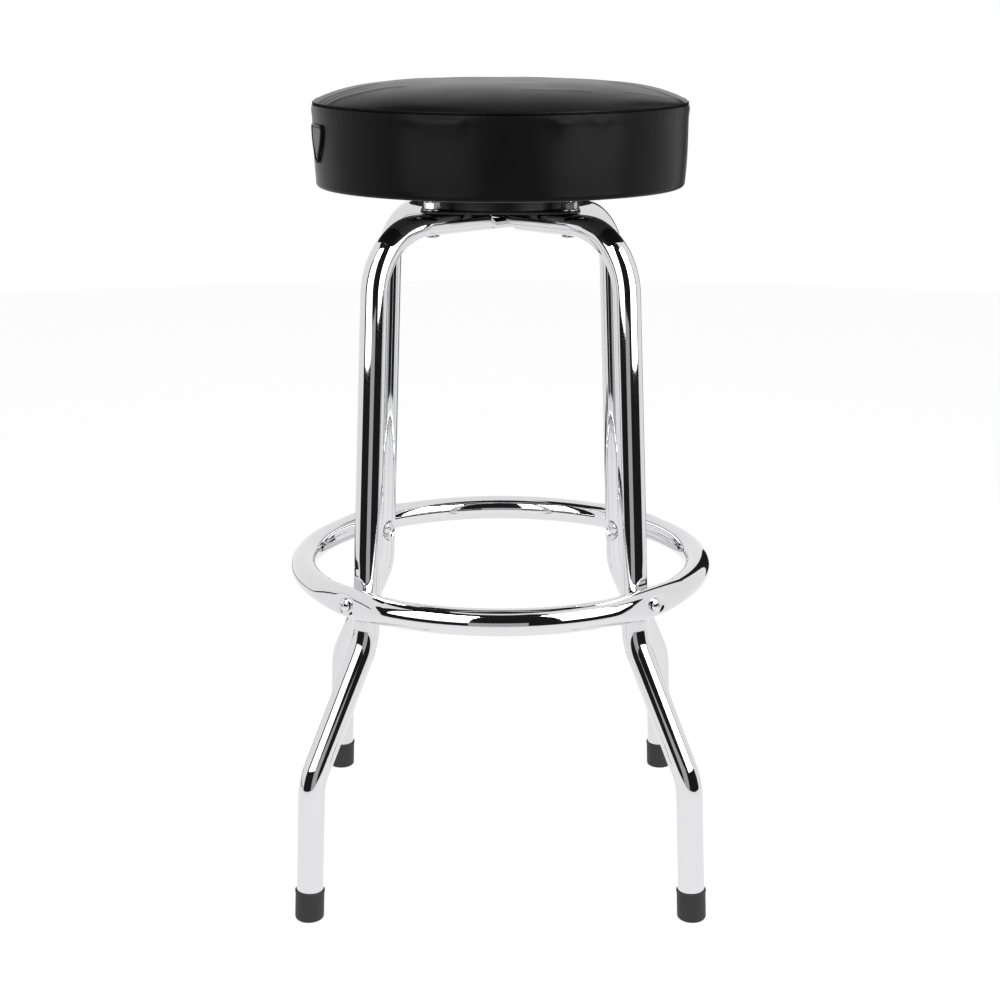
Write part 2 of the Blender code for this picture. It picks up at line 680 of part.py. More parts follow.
def frame_fasteners(look):
    """Four low-headed bolts up through the tubes, each with a washer and a nut on the plate."""
    head_top = FRAME_HEIGHT - FLAT_HEIGHT - GAP
    head_bottom = head_top - BOLT_HEAD_HEIGHT
    head_outline = (
        (0, head_bottom),
        (BOLT_HEAD_RADIUS * 0.7, lerp(head_top - BOLT_HEAD_EDGE, head_bottom, 0.7)),
        (BOLT_HEAD_RADIUS, head_top - BOLT_HEAD_EDGE),
        (BOLT_HEAD_RADIUS, head_top),
        (0, head_top),
    )
    head_mesh = finish_mesh("frame_bolt", turned(head_outline, ROUND_SIDES))
    bore = BOLT_RADIUS + GAP
    washer_top = washer_bottom + WASHER_THICKNESS
    washer_outline = (
        (bore, washer_bottom),
        (WASHER_RADIUS, washer_bottom),
        (WASHER_RADIUS, washer_top),
        (bore, washer_top),
    )
    washer_mesh = finish_mesh("frame_washer", turned(washer_outline, ROUND_SIDES))
    nut = bmesh.new()
    hexagon(nut, NUT_WIDTH, nut_bottom, nut_bottom + NUT_HEIGHT)
    nut_mesh = finish_mesh("frame_nut", nut)
    for corner, azimuth in CORNERS:
        place = outward(azimuth) * bolt_circle
        bolt = add_object("frame_bolt_" + corner, head_mesh, look)
        bolt.location = place
        shank = bmesh.new()
        start = Vector((0, 0, head_bottom + BOLT_HEAD_HEIGHT / 2))
        cylinder(shank, BOLT_RADIUS, place + start, place + Vector((0, 0, bolt_end)))
        cut(bolt, "frame_bolt_shank_" + corner, shank, "UNION")
        washer = add_object("frame_washer_" + corner, washer_mesh, look)
        washer.location = place
        nut = add_object("frame_nut_" + corner, nut_mesh, look)
        nut.location = place
        hole = bmesh.new()
        low = Vector((0, 0, nut_bottom - OVERRUN))
        high = Vector((0, 0, nut_bottom + NUT_HEIGHT + OVERRUN))
        cylinder(hole, bore, place + low, place + high)
        cut(nut, "frame_nut_hole_" + corner, hole)


# Seat
def seat_screws(look, axis):
    """Four pan-head screws up through the tray into the board."""
    head_top = tray_mid - PLATE_SHEET / 2 - GAP
    outline = (
        (0, head_top - SEAT_SCREW_HEAD_HEIGHT),
        (SEAT_SCREW_HEAD * 0.8, head_top - SEAT_SCREW_HEAD_HEIGHT),
        (SEAT_SCREW_HEAD, head_top - SEAT_SCREW_HEAD_HEIGHT / 2),
        (SEAT_SCREW_HEAD, head_top),
        (SEAT_SCREW_RADIUS, head_top),
        (SEAT_SCREW_RADIUS, board_bottom + SEAT_SCREW_BITE - SEAT_SCREW_RADIUS),
        (0, board_bottom + SEAT_SCREW_BITE),
    )
    mesh = finish_mesh("seat_screw", turned(outline, ROUND_SIDES))
    for corner, azimuth in CORNERS:
        screw = add_object("seat_screw_" + corner, mesh, look, axis)
        screw.location = outward(azimuth) * screw_circle


def seat_board(look, axis):
    """Plywood disc with a pilot hole for each screw."""
    radius = SEAT_RADIUS - BOARD_INSET
    top = board_bottom + BOARD_THICKNESS
    outline = ((0, board_bottom), (radius, board_bottom), (radius, top), (0, top))
    board = add_object("seat_board", finish_mesh("seat_board", turned(outline)), look, axis)
    holes = bmesh.new()
    for _, azimuth in CORNERS:
        centre = outward(azimuth) * screw_circle
        low = Vector((0, 0, board_bottom - OVERRUN))
        high = Vector((0, 0, board_bottom + SEAT_SCREW_BITE + GAP))
        cylinder(holes, SEAT_SCREW_RADIUS + GAP, centre + low, centre + high)
    cut(board, "seat_board_holes", holes)


def seam_radius():
    return SEAT_RADIUS * BAND_SHARES[0][1]


def crown_point(share, below):
    """A point of the crowned top at a share of the seam's radius, or that far below its surface."""
    lift = (1 - share ** CROWN_POWER) ** CROWN_EDGE_SHARE
    edge = seam_z + WELT_RADIUS + GAP
    height = edge + (seam_z + CROWN - edge) * lift
    return (seam_radius() - below * share ** CROWN_POWER) * share, height - below * (1 - share ** CROWN_POWER)


def band_radius(height):
    """Outer radius of the side band at a height."""
    bottom = hem_bottom + HEM_ROUND
    share = (height - bottom) / (seam_z - bottom)
    for (high, high_radius), (low, low_radius) in zip(BAND_SHARES, BAND_SHARES[1:]):
        if share >= low:
            between = (share - low) / (high - low)
            return SEAT_RADIUS * lerp(low_radius, high_radius, between)
    return SEAT_RADIUS * BAND_SHARES[-1][1]


def top_panel(look, axis):
    """The crowned cover over the foam."""
    outer = [crown_point(share, 0) for share in CROWN_SHARES]
    inner = [crown_point(share, COVER) for share in CROWN_SHARES[::2] + CROWN_SHARES[-1:]]
    shape = turned(outer + inner[::-1])
    add_object("seat_top_panel", finish_mesh("seat_top_panel", shape), look, axis)


def side_band(look, axis):
    """The cover's side, drawn in towards the board and turned under it as a hem."""
    top = seam_z - WELT_RADIUS - GAP
    bottom = hem_bottom + HEM_ROUND
    outer = [(band_radius(top), top)]
    outer += [(SEAT_RADIUS * wide, lerp(bottom, seam_z, share)) for share, wide in BAND_SHARES[1:]]
    corner = outer[-1][0] - HEM_ROUND
    for turn in (math.radians(30), math.radians(60), math.radians(90)):
        outer.append((corner + HEM_ROUND * math.cos(turn), bottom - HEM_ROUND * math.sin(turn)))
    hem_end = SEAT_RADIUS - HEM_WIDTH
    inner = [(hem_end, hem_bottom), (hem_end, hem_top), (corner, hem_top)]
    inner.append((outer[5][0] - COVER, bottom))
    inner += [(radius - COVER, height) for radius, height in (outer[3], outer[1], outer[0])]
    shape = turned(outer + inner)
    add_object("seat_side_band", finish_mesh("seat_side_band", shape), look, axis)


def seat_foam(look, axis):
    """Foam block that fills the cover, over the board and round its edge."""
    skin = COVER + GAP
    board_edge = SEAT_RADIUS - BOARD_INSET + GAP
    low = hem_top + COVER
    board_top = board_bottom + BOARD_THICKNESS + GAP
    sides = [low, lerp(low, seam_z, 0.5), seam_z - WELT_RADIUS]
    outline = [(0, board_top), (board_edge, board_top), (board_edge, low)]
    outline += [(band_radius(height) - skin - WELT_RADIUS, height) for height in sides]
    crown = [crown_point(share, 0) for share in (0.93, 0.82, 0.66, 0.4, 0)]
    outline += [(radius, height - skin - COVER) for radius, height in crown]
    add_object("seat_foam", finish_mesh("seat_foam", turned(outline)), look, axis)


def seam_welt(look, axis):
    """The thin cord sewn into the seam between top and side."""
    radius = seam_radius() - WELT_RADIUS
    stations = []
    for i in range(SEAT_STEPS):
        out = outward(math.tau * i / SEAT_STEPS)
        centre = out * radius + Vector((0, 0, seam_z))
        stations.append(section(centre, out, Vector((0, 0, 1)), -WELT_RADIUS, WELT_RADIUS, WELT_RADIUS, 1))
    shape = bmesh.new()
    sweep(shape, stations, BORE_SIDES, closed=True)
    add_object("seam_welt", finish_mesh("seam_welt", shape), look, axis)


def on_band(across, height, lift):
    """A place on the side band: across is measured round it from the pouch's middle."""
    radius = band_radius(height) + lift
    turn = -math.pi / 2 + POUCH_AZIMUTH + across / SEAT_RADIUS
    return outward(turn) * radius + Vector((0, 0, height))


def pouch(look_panel, look_binding, axis):
    """A small open-topped pouch, rounded to a point below, with a bound edge."""
    top = seam_z - POUCH_BELOW_SEAM
    lift = GAP + POUCH_BINDING
    edge = []
    for share, wide in POUCH_SHARES:
        edge.append((-POUCH_WIDTH / 2 * wide, top - POUCH_HEIGHT * (1 - share)))
    edge += [(-across, height) for across, height in reversed(edge)]
    mouth = edge[-1][0]
    edge += [(mouth * share, top) for share in (0.5, 0, -0.5)]
    stations = []
    for i, (across, height) in enumerate(edge):
        before, after = edge[i - 1], edge[(i + 1) % len(edge)]
        centre = on_band(across, height, lift)
        tangent = on_band(*after, lift) - on_band(*before, lift)
        out = Vector((centre.x, centre.y, 0)).normalized()
        side = tangent.cross(out).normalized()
        stations.append(section(centre, out, side, -POUCH_BINDING, POUCH_BINDING, POUCH_BINDING, 1))
    shape = bmesh.new()
    sweep(shape, stations, BORE_SIDES, closed=True)
    add_object("pouch_binding", finish_mesh("pouch_binding", shape), look_binding, axis)
    inset = POUCH_BINDING + GAP
    rows = len(POUCH_SHARES) - 1
    columns = 6
    grid = bmesh.new()
    made = bmesh.ops.create_grid(grid, x_segments=columns, y_segments=rows, size=0.5)["verts"]
    for vert in made:
        row = round((vert.co.y + 0.5) * rows)
        share, wide = POUCH_SHARES[rows - row]
        half = max(POUCH_WIDTH / 2 * wide - 2 * inset, inset)
        height = lerp(top - POUCH_HEIGHT + 2 * inset, top - inset, share)
        vert.co = on_band(vert.co.x * 2 * half, height, lift)
    panel = add_object("pouch_panel", finish_mesh("pouch_panel", grid), look_panel, axis)
    thick = panel.modifiers.new("sheet", "SOLIDIFY")
    thick.thickness = POUCH_SHEET
    thick.offset = 0


def main():
    for old in list(bpy.data.objects):
        bpy.data.objects.remove(old)
    chrome = material("chrome", (0.80, 0.80, 0.81), 0.06, 1.0)
    zinc = material("zinc", (0.62, 0.62, 0.63), 0.28, 1.0)
    rubber = material("rubber", (0.025, 0.025, 0.026), 0.62)
    black_steel = material("black_steel", (0.015, 0.015, 0.016), 0.42)
    steel = material("steel", (0.50, 0.50, 0.51), 0.30, 1.0)
    plywood = material("plywood", (0.42, 0.28, 0.16), 0.70)
    foam = material("foam", (0.62, 0.58, 0.42), 0.95)
    vinyl = material("black_vinyl", (0.012, 0.012, 0.013), 0.34)
    felt = material("grey_vinyl", (0.045, 0.045, 0.048), 0.55)

    leg_tube("leg_tube_front_left", FRONT_LEFT, False, chrome)
    leg_tube("leg_tube_front_right", FRONT_RIGHT, True, chrome)
    foot_ring(chrome)
    ring_fasteners(chrome)
    foot_caps(rubber)
    lower_plate(black_steel)
    frame_fasteners(zinc)

    axis = bpy.data.objects.new("swivel_axis", None)
    bpy.context.scene.collection.objects.link(axis)
    ball_cage(steel, axis)
    upper_tray(black_steel, axis)
    seat_screws(zinc, axis)
    seat_board(plywood, axis)
    seat_foam(foam, axis)
    top_panel(vinyl, axis)
    side_band(vinyl, axis)
    seam_welt(vinyl, axis)
    pouch(felt, vinyl, axis)


main()
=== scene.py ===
"""The bar stool dressed for its picture: a black vinyl seat on a ball-bearing swivel, two bent
chromed tubes that cross under it, a foot ring and rubber feet. Metres, +Z up, front at -Y."""
import math

import bmesh
import bpy
from mathutils import Matrix, Vector, noise


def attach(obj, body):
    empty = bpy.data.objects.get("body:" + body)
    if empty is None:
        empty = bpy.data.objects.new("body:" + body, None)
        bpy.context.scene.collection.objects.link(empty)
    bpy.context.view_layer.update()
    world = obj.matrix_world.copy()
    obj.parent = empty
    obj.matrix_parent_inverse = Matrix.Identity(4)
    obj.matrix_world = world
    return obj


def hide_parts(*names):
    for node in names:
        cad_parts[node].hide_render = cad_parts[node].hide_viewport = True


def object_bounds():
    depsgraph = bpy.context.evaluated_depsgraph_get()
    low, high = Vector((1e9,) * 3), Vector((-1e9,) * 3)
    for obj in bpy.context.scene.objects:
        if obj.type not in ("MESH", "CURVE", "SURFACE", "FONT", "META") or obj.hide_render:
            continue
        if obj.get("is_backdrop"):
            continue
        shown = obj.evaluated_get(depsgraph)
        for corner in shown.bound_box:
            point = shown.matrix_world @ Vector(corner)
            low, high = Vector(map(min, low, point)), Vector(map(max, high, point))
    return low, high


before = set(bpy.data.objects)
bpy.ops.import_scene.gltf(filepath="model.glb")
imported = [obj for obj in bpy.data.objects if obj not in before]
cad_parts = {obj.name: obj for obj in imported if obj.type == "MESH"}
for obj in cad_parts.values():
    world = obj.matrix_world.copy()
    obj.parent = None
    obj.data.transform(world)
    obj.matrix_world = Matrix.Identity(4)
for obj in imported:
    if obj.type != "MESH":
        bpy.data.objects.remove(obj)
cad_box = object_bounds()

# Camera: in front of the stool, above the seat and pitched down to it.
CAMERA_PLACE = (-0.0005, -1.7104, 0.8193)
CAMERA_PITCH = math.radians(15.126)
CAMERA_LENS = 64.93

camera_data = bpy.data.cameras.new("camera")
camera_data.lens = CAMERA_LENS
camera = bpy.data.objects.new("camera", camera_data)
camera.location = CAMERA_PLACE
camera.rotation_euler = (math.pi / 2 - CAMERA_PITCH, 0, 0)
bpy.context.scene.collection.objects.link(camera)
bpy.context.scene.camera = camera
bpy.context.scene.view_settings.view_transform = "Standard"

# Studio: a white floor in a white room, with two tall soft boxes in front of the stool, each with a
# brighter core. A grey stand is between them, a dark room beyond, and a low dark sill at the left.
# Azimuths run from the front towards the right. Only mirrored rays see the screens and cores.
FLOOR_HALF = 4.0
FLOOR_STEPS = 64
SCREEN_STEPS = 24
FLOOR_COLOUR = 0.25
FLOOR_GLOW = 0.91
FILL_LEVEL = 0.25
BOX_DISTANCE = 1.05
BOX_BOTTOM = 0.43
BOX_TOP = 1.90
BOXES = (
    ("left", math.radians(-57), math.radians(-15), 2.5),
    ("right", math.radians(29), math.radians(72), 3.5),
)
CORE_BOTTOM = 1.35
CORE_TOP = 1.85
CORE_SHARE = 4.0
CORE_NEARER = 0.99
DARK_COLOUR = 0.008
DARK_GLOW = 0.012
DARK_DISTANCE = 1.25
DARK_TOP = 2.20
DARK_FRONT = (math.radians(-68), math.radians(79))
CEILING_HEIGHT = 2.70
CEILING_REACH = 0.60
DARK_CEILING = (math.radians(-150), math.radians(45))
STAND_DISTANCE = 1.12
STAND_HEIGHT = 0.47
STAND_COLOUR = 0.46
STAND = (math.radians(-15), math.radians(13))
GAP_BEHIND = (math.radians(137), math.radians(153))
SILL = (math.radians(-160), math.radians(-78))
SILL_DISTANCE = 1.22
SILL_HEIGHT = 0.05


def node(tree, kind, values=(), **settings):
    """Add a shader node, set its properties, and set or link its inputs."""
    made = tree.nodes.new("ShaderNode" + kind)
    for name, value in settings.items():
        setattr(made, name, value)
    for key, value in dict(values).items():
        if isinstance(value, bpy.types.NodeSocket):
            tree.links.new(value, made.inputs[key])
        else:
            made.inputs[key].default_value = value
    return made


def look(name, colour, roughness, metallic=0.0):
    """A Principled material. Returns it with its node tree and its shader node."""
    made = bpy.data.materials.new(name)
    made.use_nodes = True
    shader = made.node_tree.nodes["Principled BSDF"]
    shader.inputs["Base Color"].default_value = (*colour, 1)
    shader.inputs["Roughness"].default_value = roughness
    shader.inputs["Metallic"].default_value = metallic
    return made, made.node_tree, shader


def towards(azimuth, distance, height):
    """A place in the studio, at an azimuth from the front and a distance from the stool."""
    return Vector((math.sin(azimuth) * distance, -math.cos(azimuth) * distance, height))


def screen(name, finish, start, end, azimuths, steps=SCREEN_STEPS):
    """A studio surface round the stool between two (distance, height) edges."""
    shape = bmesh.new()
    made = bmesh.ops.create_grid(shape, x_segments=steps, y_segments=1, size=1)["verts"]
    for i, vert in enumerate(made):
        row, column = divmod(i, steps + 1)
        azimuth = azimuths[0] + (azimuths[1] - azimuths[0]) * column / steps
        vert.co = towards(azimuth, *(end if row else start))
    mesh = bpy.data.meshes.new(name)
    shape.to_mesh(mesh)
    shape.free()
    mesh.materials.append(finish)
    made = bpy.data.objects.new(name, mesh)
    bpy.context.scene.collection.objects.link(made)
    made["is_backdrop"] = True
    return made


def seen_directly(tree):
    """1 for camera, mirrored and refracted rays, which show the background as it looks."""
    rays = node(tree, "LightPath")
    seen = node(tree, "Math", {0: rays.outputs["Is Camera Ray"], 1: rays.outputs["Is Glossy Ray"]},
                operation="MAXIMUM")
    seen = node(tree, "Math", {0: seen.outputs[0], 1: rays.outputs["Is Transmission Ray"]},
                operation="MAXIMUM")
    return seen.outputs[0]


world = bpy.data.worlds.new("studio")
world.use_nodes = True
bpy.context.scene.world = world
background = world.node_tree.nodes["Background"]
background.inputs["Color"].default_value = (1, 1, 1, 1)
level = node(world.node_tree, "Mix", {0: seen_directly(world.node_tree), 2: FILL_LEVEL, 3: 1.0})
world.node_tree.links.new(level.outputs[0], background.inputs["Strength"])


def matt_look(name, colour, roughness, glow, strength):
    """A matt studio surface that glows by itself."""
    made, tree, shader = look(name, (colour,) * 3, roughness)
    shader.inputs["Specular IOR Level"].default_value = 0
    shader.inputs["Emission Color"].default_value = (glow, glow, glow, 1)
    shader.inputs["Emission Strength"].default_value = strength
    return made, tree, shader


floor_look, tree, shader = matt_look("floor_white", FLOOR_COLOUR, 0.9, 1, 0)
glow = node(tree, "Math", {0: seen_directly(tree), 1: FLOOR_GLOW}, operation="MULTIPLY")
tree.links.new(glow.outputs[0], shader.inputs["Emission Strength"])
screen("floor", floor_look, (0, 0), (FLOOR_HALF, 0), (0, math.tau), FLOOR_STEPS)

dark_look = matt_look("dark_room", DARK_COLOUR, 1.0, 1, DARK_GLOW)[0]
stand_look = matt_look("grey_stand", 0, 1.0, STAND_COLOUR, 1)[0]
dark_top = (DARK_DISTANCE, DARK_TOP)
mirrored = [
    screen("dark_front", dark_look, (DARK_DISTANCE, 0), dark_top, DARK_FRONT),
    screen("dark_ceiling", dark_look, dark_top, (CEILING_REACH, CEILING_HEIGHT), DARK_CEILING),
    screen("dark_gap", dark_look, (DARK_DISTANCE, 0), (DARK_DISTANCE, BOX_TOP), GAP_BEHIND),
    screen("grey_stand", stand_look, (STAND_DISTANCE, 0), (STAND_DISTANCE, STAND_HEIGHT), STAND),
    screen("dark_sill", dark_look, (SILL_DISTANCE, 0), (SILL_DISTANCE, SILL_HEIGHT), SILL),
]
for made in mirrored:
    made.visible_camera = False
    made.visible_diffuse = False
    made.visible_transmission = False
    made.visible_shadow = False


def soft_lamp(name, azimuths, place, width, bottom, top, level):
    """A rectangular lamp that faces the stool. The camera doesn't see it."""
    lamp = bpy.data.lights.new(name, "AREA")
    lamp.shape = "RECTANGLE"
    lamp.size = width
    lamp.size_y = top - bottom
    lamp.energy = level * math.pi * lamp.size * lamp.size_y
    made = bpy.data.objects.new(name, lamp)
    made.location = (place.x, place.y, (bottom + top) / 2)
    made.rotation_euler = (math.pi / 2, 0, sum(azimuths) / 2)
    made.visible_camera = False
    bpy.context.scene.collection.objects.link(made)
    return made


for name, azimuth_from, azimuth_to, level in BOXES:
    azimuths = (azimuth_from, azimuth_to)
    left, right = (towards(azimuth, BOX_DISTANCE, 0) for azimuth in azimuths)
    middle = (left + right) / 2
    width = (right - left).length
    soft_lamp("soft_box_" + name, azimuths, middle, width, BOX_BOTTOM, BOX_TOP, level)
    # The tubes inside the box show as a brighter core, and only in mirrored rays
    level *= CORE_SHARE
    core = soft_lamp("core_" + name, azimuths, middle * CORE_NEARER, width, CORE_BOTTOM, CORE_TOP, level)
    core.visible_diffuse = False


# Leg tubes: two 25 mm steel tubes in bright chrome, each bent to an inverted U with splayed
# feet. The top run is pressed flat and the tubes are crimped into each other where they cross.
# A round dimple inside each leg takes a sleeve nut, and a saddle outside takes the foot ring.
GAP = 0.0003
TUBE_RADIUS = 0.0125
TUBE_WALL = 0.0015
FRAME_HEIGHT = 0.6433
KNEE_HEIGHT = 0.2543
ANKLE_HEIGHT = 0.1343
KNEE_SPLAY = 0.0214
ANKLE_SPLAY = 0.0686
FOOT_SPLAY = 0.0074
SHOULDER_BEND = 0.060
KNEE_BEND = 0.055
FLAT_HEIGHT = 0.0199
FLAT_WIDTH = 0.0285
FLAT_RUNOUT = 0.030
FLAT_ROUNDNESS = 0.78
CROSS_MARGIN = 0.002
CROSS_RUNOUT = 0.014
FLAT_END = 0.0992
CAP_FLOOR = 0.0030
RING_ABOVE_KNEE = 0.0423
RING_STANDOFF = 0.0185
RING_SCREW_DROP = 0.0010
SADDLE_ABOVE = 0.010
SADDLE_BELOW = 0.006
SADDLE_DEPTH = 0.0022
SADDLE_SWELL = 0.0005
SADDLE_END = 0.018
LEG_DIMPLE_DEPTH = 0.0050
LEG_DIMPLE_RADIUS = 0.0068
DIMPLE_SLOPE = 1.2
DIMPLE_SOFTNESS = 0.0008
TUBE_SIDES = 64
COARSE_STEP = 0.006
FINE_STEP = 0.001
BEND_STEP = math.radians(2)
BORE_STRIDE = 4
SHARP_ANGLE = math.radians(35)
MERGE_DISTANCE = GAP / 300
CORNERS = (
    ("front_left", math.radians(-135)),
    ("front_right", math.radians(-45)),
    ("rear_right", math.radians(45)),
    ("rear_left", math.radians(135)),
)

flat_half = FLAT_HEIGHT / 2
run_height = FRAME_HEIGHT - flat_half


def lerp(a, b, share):
    return a + (b - a) * share


def ease(share):
    """A smooth step from 0 to 1."""
    share = min(max(share, 0), 1)
    return share * share * (3 - 2 * share)


def soft_least(a, b, softness):
    """The smaller of two values, with a rounded change from one to the other."""
    return (a + b - math.sqrt((a - b) ** 2 + softness ** 2)) / 2


def outward(azimuth):
    return Vector((math.cos(azimuth), math.sin(azimuth), 0))


def roughen(tree, shader, scale, low, high, bump):
    """Vary the roughness with a noise on object coordinates, and bump the surface with it."""
    place = node(tree, "TexCoord")
    grain = node(tree, "TexNoise", {"Vector": place.outputs["Object"], "Scale": scale, "Detail": 4})
    spread = node(tree, "MapRange", {"Value": grain.outputs[0], "To Min": low, "To Max": high})
    tree.links.new(spread.outputs[0], shader.inputs["Roughness"])
    relief = node(tree, "Bump", {"Height": grain.outputs[0], "Distance": bump})
    tree.links.new(relief.outputs[0], shader.inputs["Normal"])


def wrap(shape, rings, loop=False):
    """Lay a grid over a row of closed rings of points, and merge its seams and poles."""
    rows = list(rings) + list(rings[:1] if loop else [])
    columns = len(rows[0])
    made = bmesh.ops.create_grid(shape, x_segments=columns, y_segments=len(rows) - 1, size=1)["verts"]
    for i, vert in enumerate(made):
        row, column = divmod(i, columns + 1)
        vert.co = rows[row][column % columns]
    bmesh.ops.remove_doubles(shape, verts=made, dist=MERGE_DISTANCE)


def piece(name, shape, finish, slot, body, *nodes):
    """Make a smooth-shaded piece from a bmesh. It rides on a body and stands for CAD nodes."""
    bmesh.ops.recalc_face_normals(shape, faces=shape.faces)
    mesh = bpy.data.meshes.new(name)
    shape.to_mesh(mesh)
    shape.free()
    mesh.shade_smooth()
    mesh.set_sharp_from_angle(angle=SHARP_ANGLE)
    mesh.materials.append(finish)
    made = bpy.data.objects.new(name, mesh)
    bpy.context.scene.collection.objects.link(made)
    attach(made, body)
    if nodes:
        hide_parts(*nodes)
    return made


def leg_corners():
    """Corners of half a leg in its plane, as (radius, height), from the crossing out and down."""
    turn = math.pi / 2 - math.atan2(KNEE_SPLAY, run_height - KNEE_HEIGHT)
    shoulder = FLAT_END + SHOULDER_BEND * math.tan(turn / 2)
    knee = shoulder + KNEE_SPLAY
    ankle = knee + ANKLE_SPLAY
    ankle_point = Vector((ankle, ANKLE_HEIGHT))
    floor_point = Vector((ankle + FOOT_SPLAY, 0))
    tube_end = floor_point + (ankle_point - floor_point).normalized() * (CAP_FLOOR + GAP)
    shoulder_point = Vector((shoulder, run_height))
    knee_point = Vector((knee, KNEE_HEIGHT))
    return Vector((0, run_height)), shoulder_point, knee_point, ankle_point, tube_end, floor_point


ring_height = KNEE_HEIGHT + RING_ABOVE_KNEE
leg_lean = (leg_corners()[2] - leg_corners()[1]).normalized()
leg_radius = leg_corners()[2].x - RING_ABOVE_KNEE * leg_lean.x / -leg_lean.y
ring_radius = leg_radius + RING_STANDOFF
ring_seat = Vector((leg_radius, ring_height))
leg_out = Vector((-leg_lean.y, leg_lean.x))
screw_middle = Vector((ring_radius, ring_height - RING_SCREW_DROP))
dimple_seat = ring_seat + leg_lean * (screw_middle - ring_seat).dot(leg_lean)


def arc(corner, before, after, radius):
    """Points and tangents of a round bend that replaces a corner."""
    into = (corner - before).normalized()
    out = (after - corner).normalized()
    turn = into.angle_signed(out)
    side = Vector((-into.y, into.x)) * (1 if turn < 0 else -1)
    centre = corner - into * radius * math.tan(abs(turn) / 2) + side * radius
    steps = round(abs(turn) / BEND_STEP)
    points = []
    for i in range(steps + 1):
        turned_by = Matrix.Rotation(-turn * i / steps, 2)
        points.append((centre - turned_by @ side * radius, turned_by @ into))
    return points


def stretch(start, end, step):
    """Points and tangents along a straight stretch, without its ends."""
    count = max(round((end - start).length / step), 1)
    along = (end - start).normalized()
    return [(start.lerp(end, i / count), along) for i in range(1, count)]


def half_leg_path():
    """Points and tangents from beside the crossing to the foot, close together at the dimples."""
    middle, shoulder, knee, ankle, end, _ = leg_corners()
    bends = [arc(shoulder, middle, knee, SHOULDER_BEND)]
    bends.append(arc(knee, shoulder, ankle, KNEE_BEND))
    bends.append(arc(ankle, knee, end, KNEE_BEND))
    crossed = Vector((FLAT_WIDTH / 2 + CROSS_MARGIN + CROSS_RUNOUT, run_height))
    reach = leg_lean * (TUBE_RADIUS + SADDLE_END)
    path = stretch(middle, crossed, FINE_STEP) + stretch(crossed, bends[0][0][0], FINE_STEP * 3)
    path += bends[0] + stretch(bends[0][-1][0], ring_seat - reach, COARSE_STEP)
    path += stretch(ring_seat - reach, bends[1][0][0], FINE_STEP)
    path += bends[1] + stretch(bends[1][-1][0], bends[2][0][0], COARSE_STEP) + bends[2]
    path += stretch(bends[2][-1][0], end, COARSE_STEP) + [(end, (end - ankle).normalized())]
    return path


def saddle_reach(point, out, across):
    """How far the leg's skin may reach outward before it meets the foot ring."""
    to_ring = Vector((math.sqrt(ring_radius ** 2 - across ** 2), ring_height)) - point
    along = to_ring.dot(out)
    beside = to_ring.length_squared - along ** 2
    clear = TUBE_RADIUS + GAP
    if beside >= clear ** 2 or to_ring.length > clear + 2 * TUBE_RADIUS:
        return TUBE_RADIUS * 2
    return along - math.sqrt(clear ** 2 - beside)


def leg_ring(point, tangent, sign, azimuth, upper, inset):
    """The tube's outline at one point of its path, inset by the wall for its bore."""
    out = Vector((-tangent.y, tangent.x))
    flat = 1 - ease((point.x - FLAT_END) / FLAT_RUNOUT)
    if point.y < run_height - FLAT_RUNOUT:
        flat = 0
    half_width = lerp(TUBE_RADIUS, FLAT_WIDTH / 2, flat)
    high = lerp(TUBE_RADIUS, flat_half, flat)
    low = -high
    power = lerp(1, FLAT_ROUNDNESS, flat)
    crossing = flat * (1 - ease((point.x - FLAT_WIDTH / 2 - CROSS_MARGIN) / CROSS_RUNOUT))
    if upper:
        low = lerp(low, GAP / 2, crossing)
    else:
        high = lerp(high, -GAP / 2, crossing)
    from_seat = (point - ring_seat).dot(leg_lean)
    from_dimple = (point - dimple_seat).dot(leg_lean)
    plane = outward(azimuth)
    side = Vector((0, 0, 1)).cross(plane)
    centre = plane * (point.x * sign) + Vector((0, 0, point.y))
    outer = plane * (out.x * sign) + Vector((0, 0, out.y))
    points = []
    for i in range(TUBE_SIDES):
        c, s = math.cos(math.tau * i / TUBE_SIDES), math.sin(math.tau * i / TUBE_SIDES)
        across = (half_width - inset) * math.copysign(abs(c) ** power, c)
        along = (low + high) / 2 + ((high - low) / 2 - inset) * math.copysign(abs(s) ** power, s)
        if abs(from_seat) < TUBE_RADIUS + SADDLE_END and not flat:
            past = max(math.hypot(from_dimple, across) - LEG_DIMPLE_RADIUS, 0)
            pressed = TUBE_RADIUS - LEG_DIMPLE_DEPTH + past * DIMPLE_SLOPE
            along = -soft_least(-along, pressed - inset, DIMPLE_SOFTNESS)
            runout = SADDLE_BELOW if from_seat > 0 else SADDLE_ABOVE
            clear = ease((abs(from_seat) - TUBE_RADIUS) / runout)
            reach = min(saddle_reach(point, out, across), TUBE_RADIUS - SADDLE_DEPTH * (1 - clear))
            along = soft_least(along, reach - inset, DIMPLE_SOFTNESS)
            swell = ease((TUBE_RADIUS + SADDLE_END - from_seat) / (SADDLE_END - SADDLE_BELOW)) * clear
            if from_seat > 0:
                along += SADDLE_SWELL * swell * max(s, 0)
        points.append(centre + side * across + outer * along)
    return points


chrome, tree, shader = look("chrome", (0.70, 0.70, 0.71), 0.04, 1.0)
roughen(tree, shader, 55, 0.03, 0.05, 0.00002)

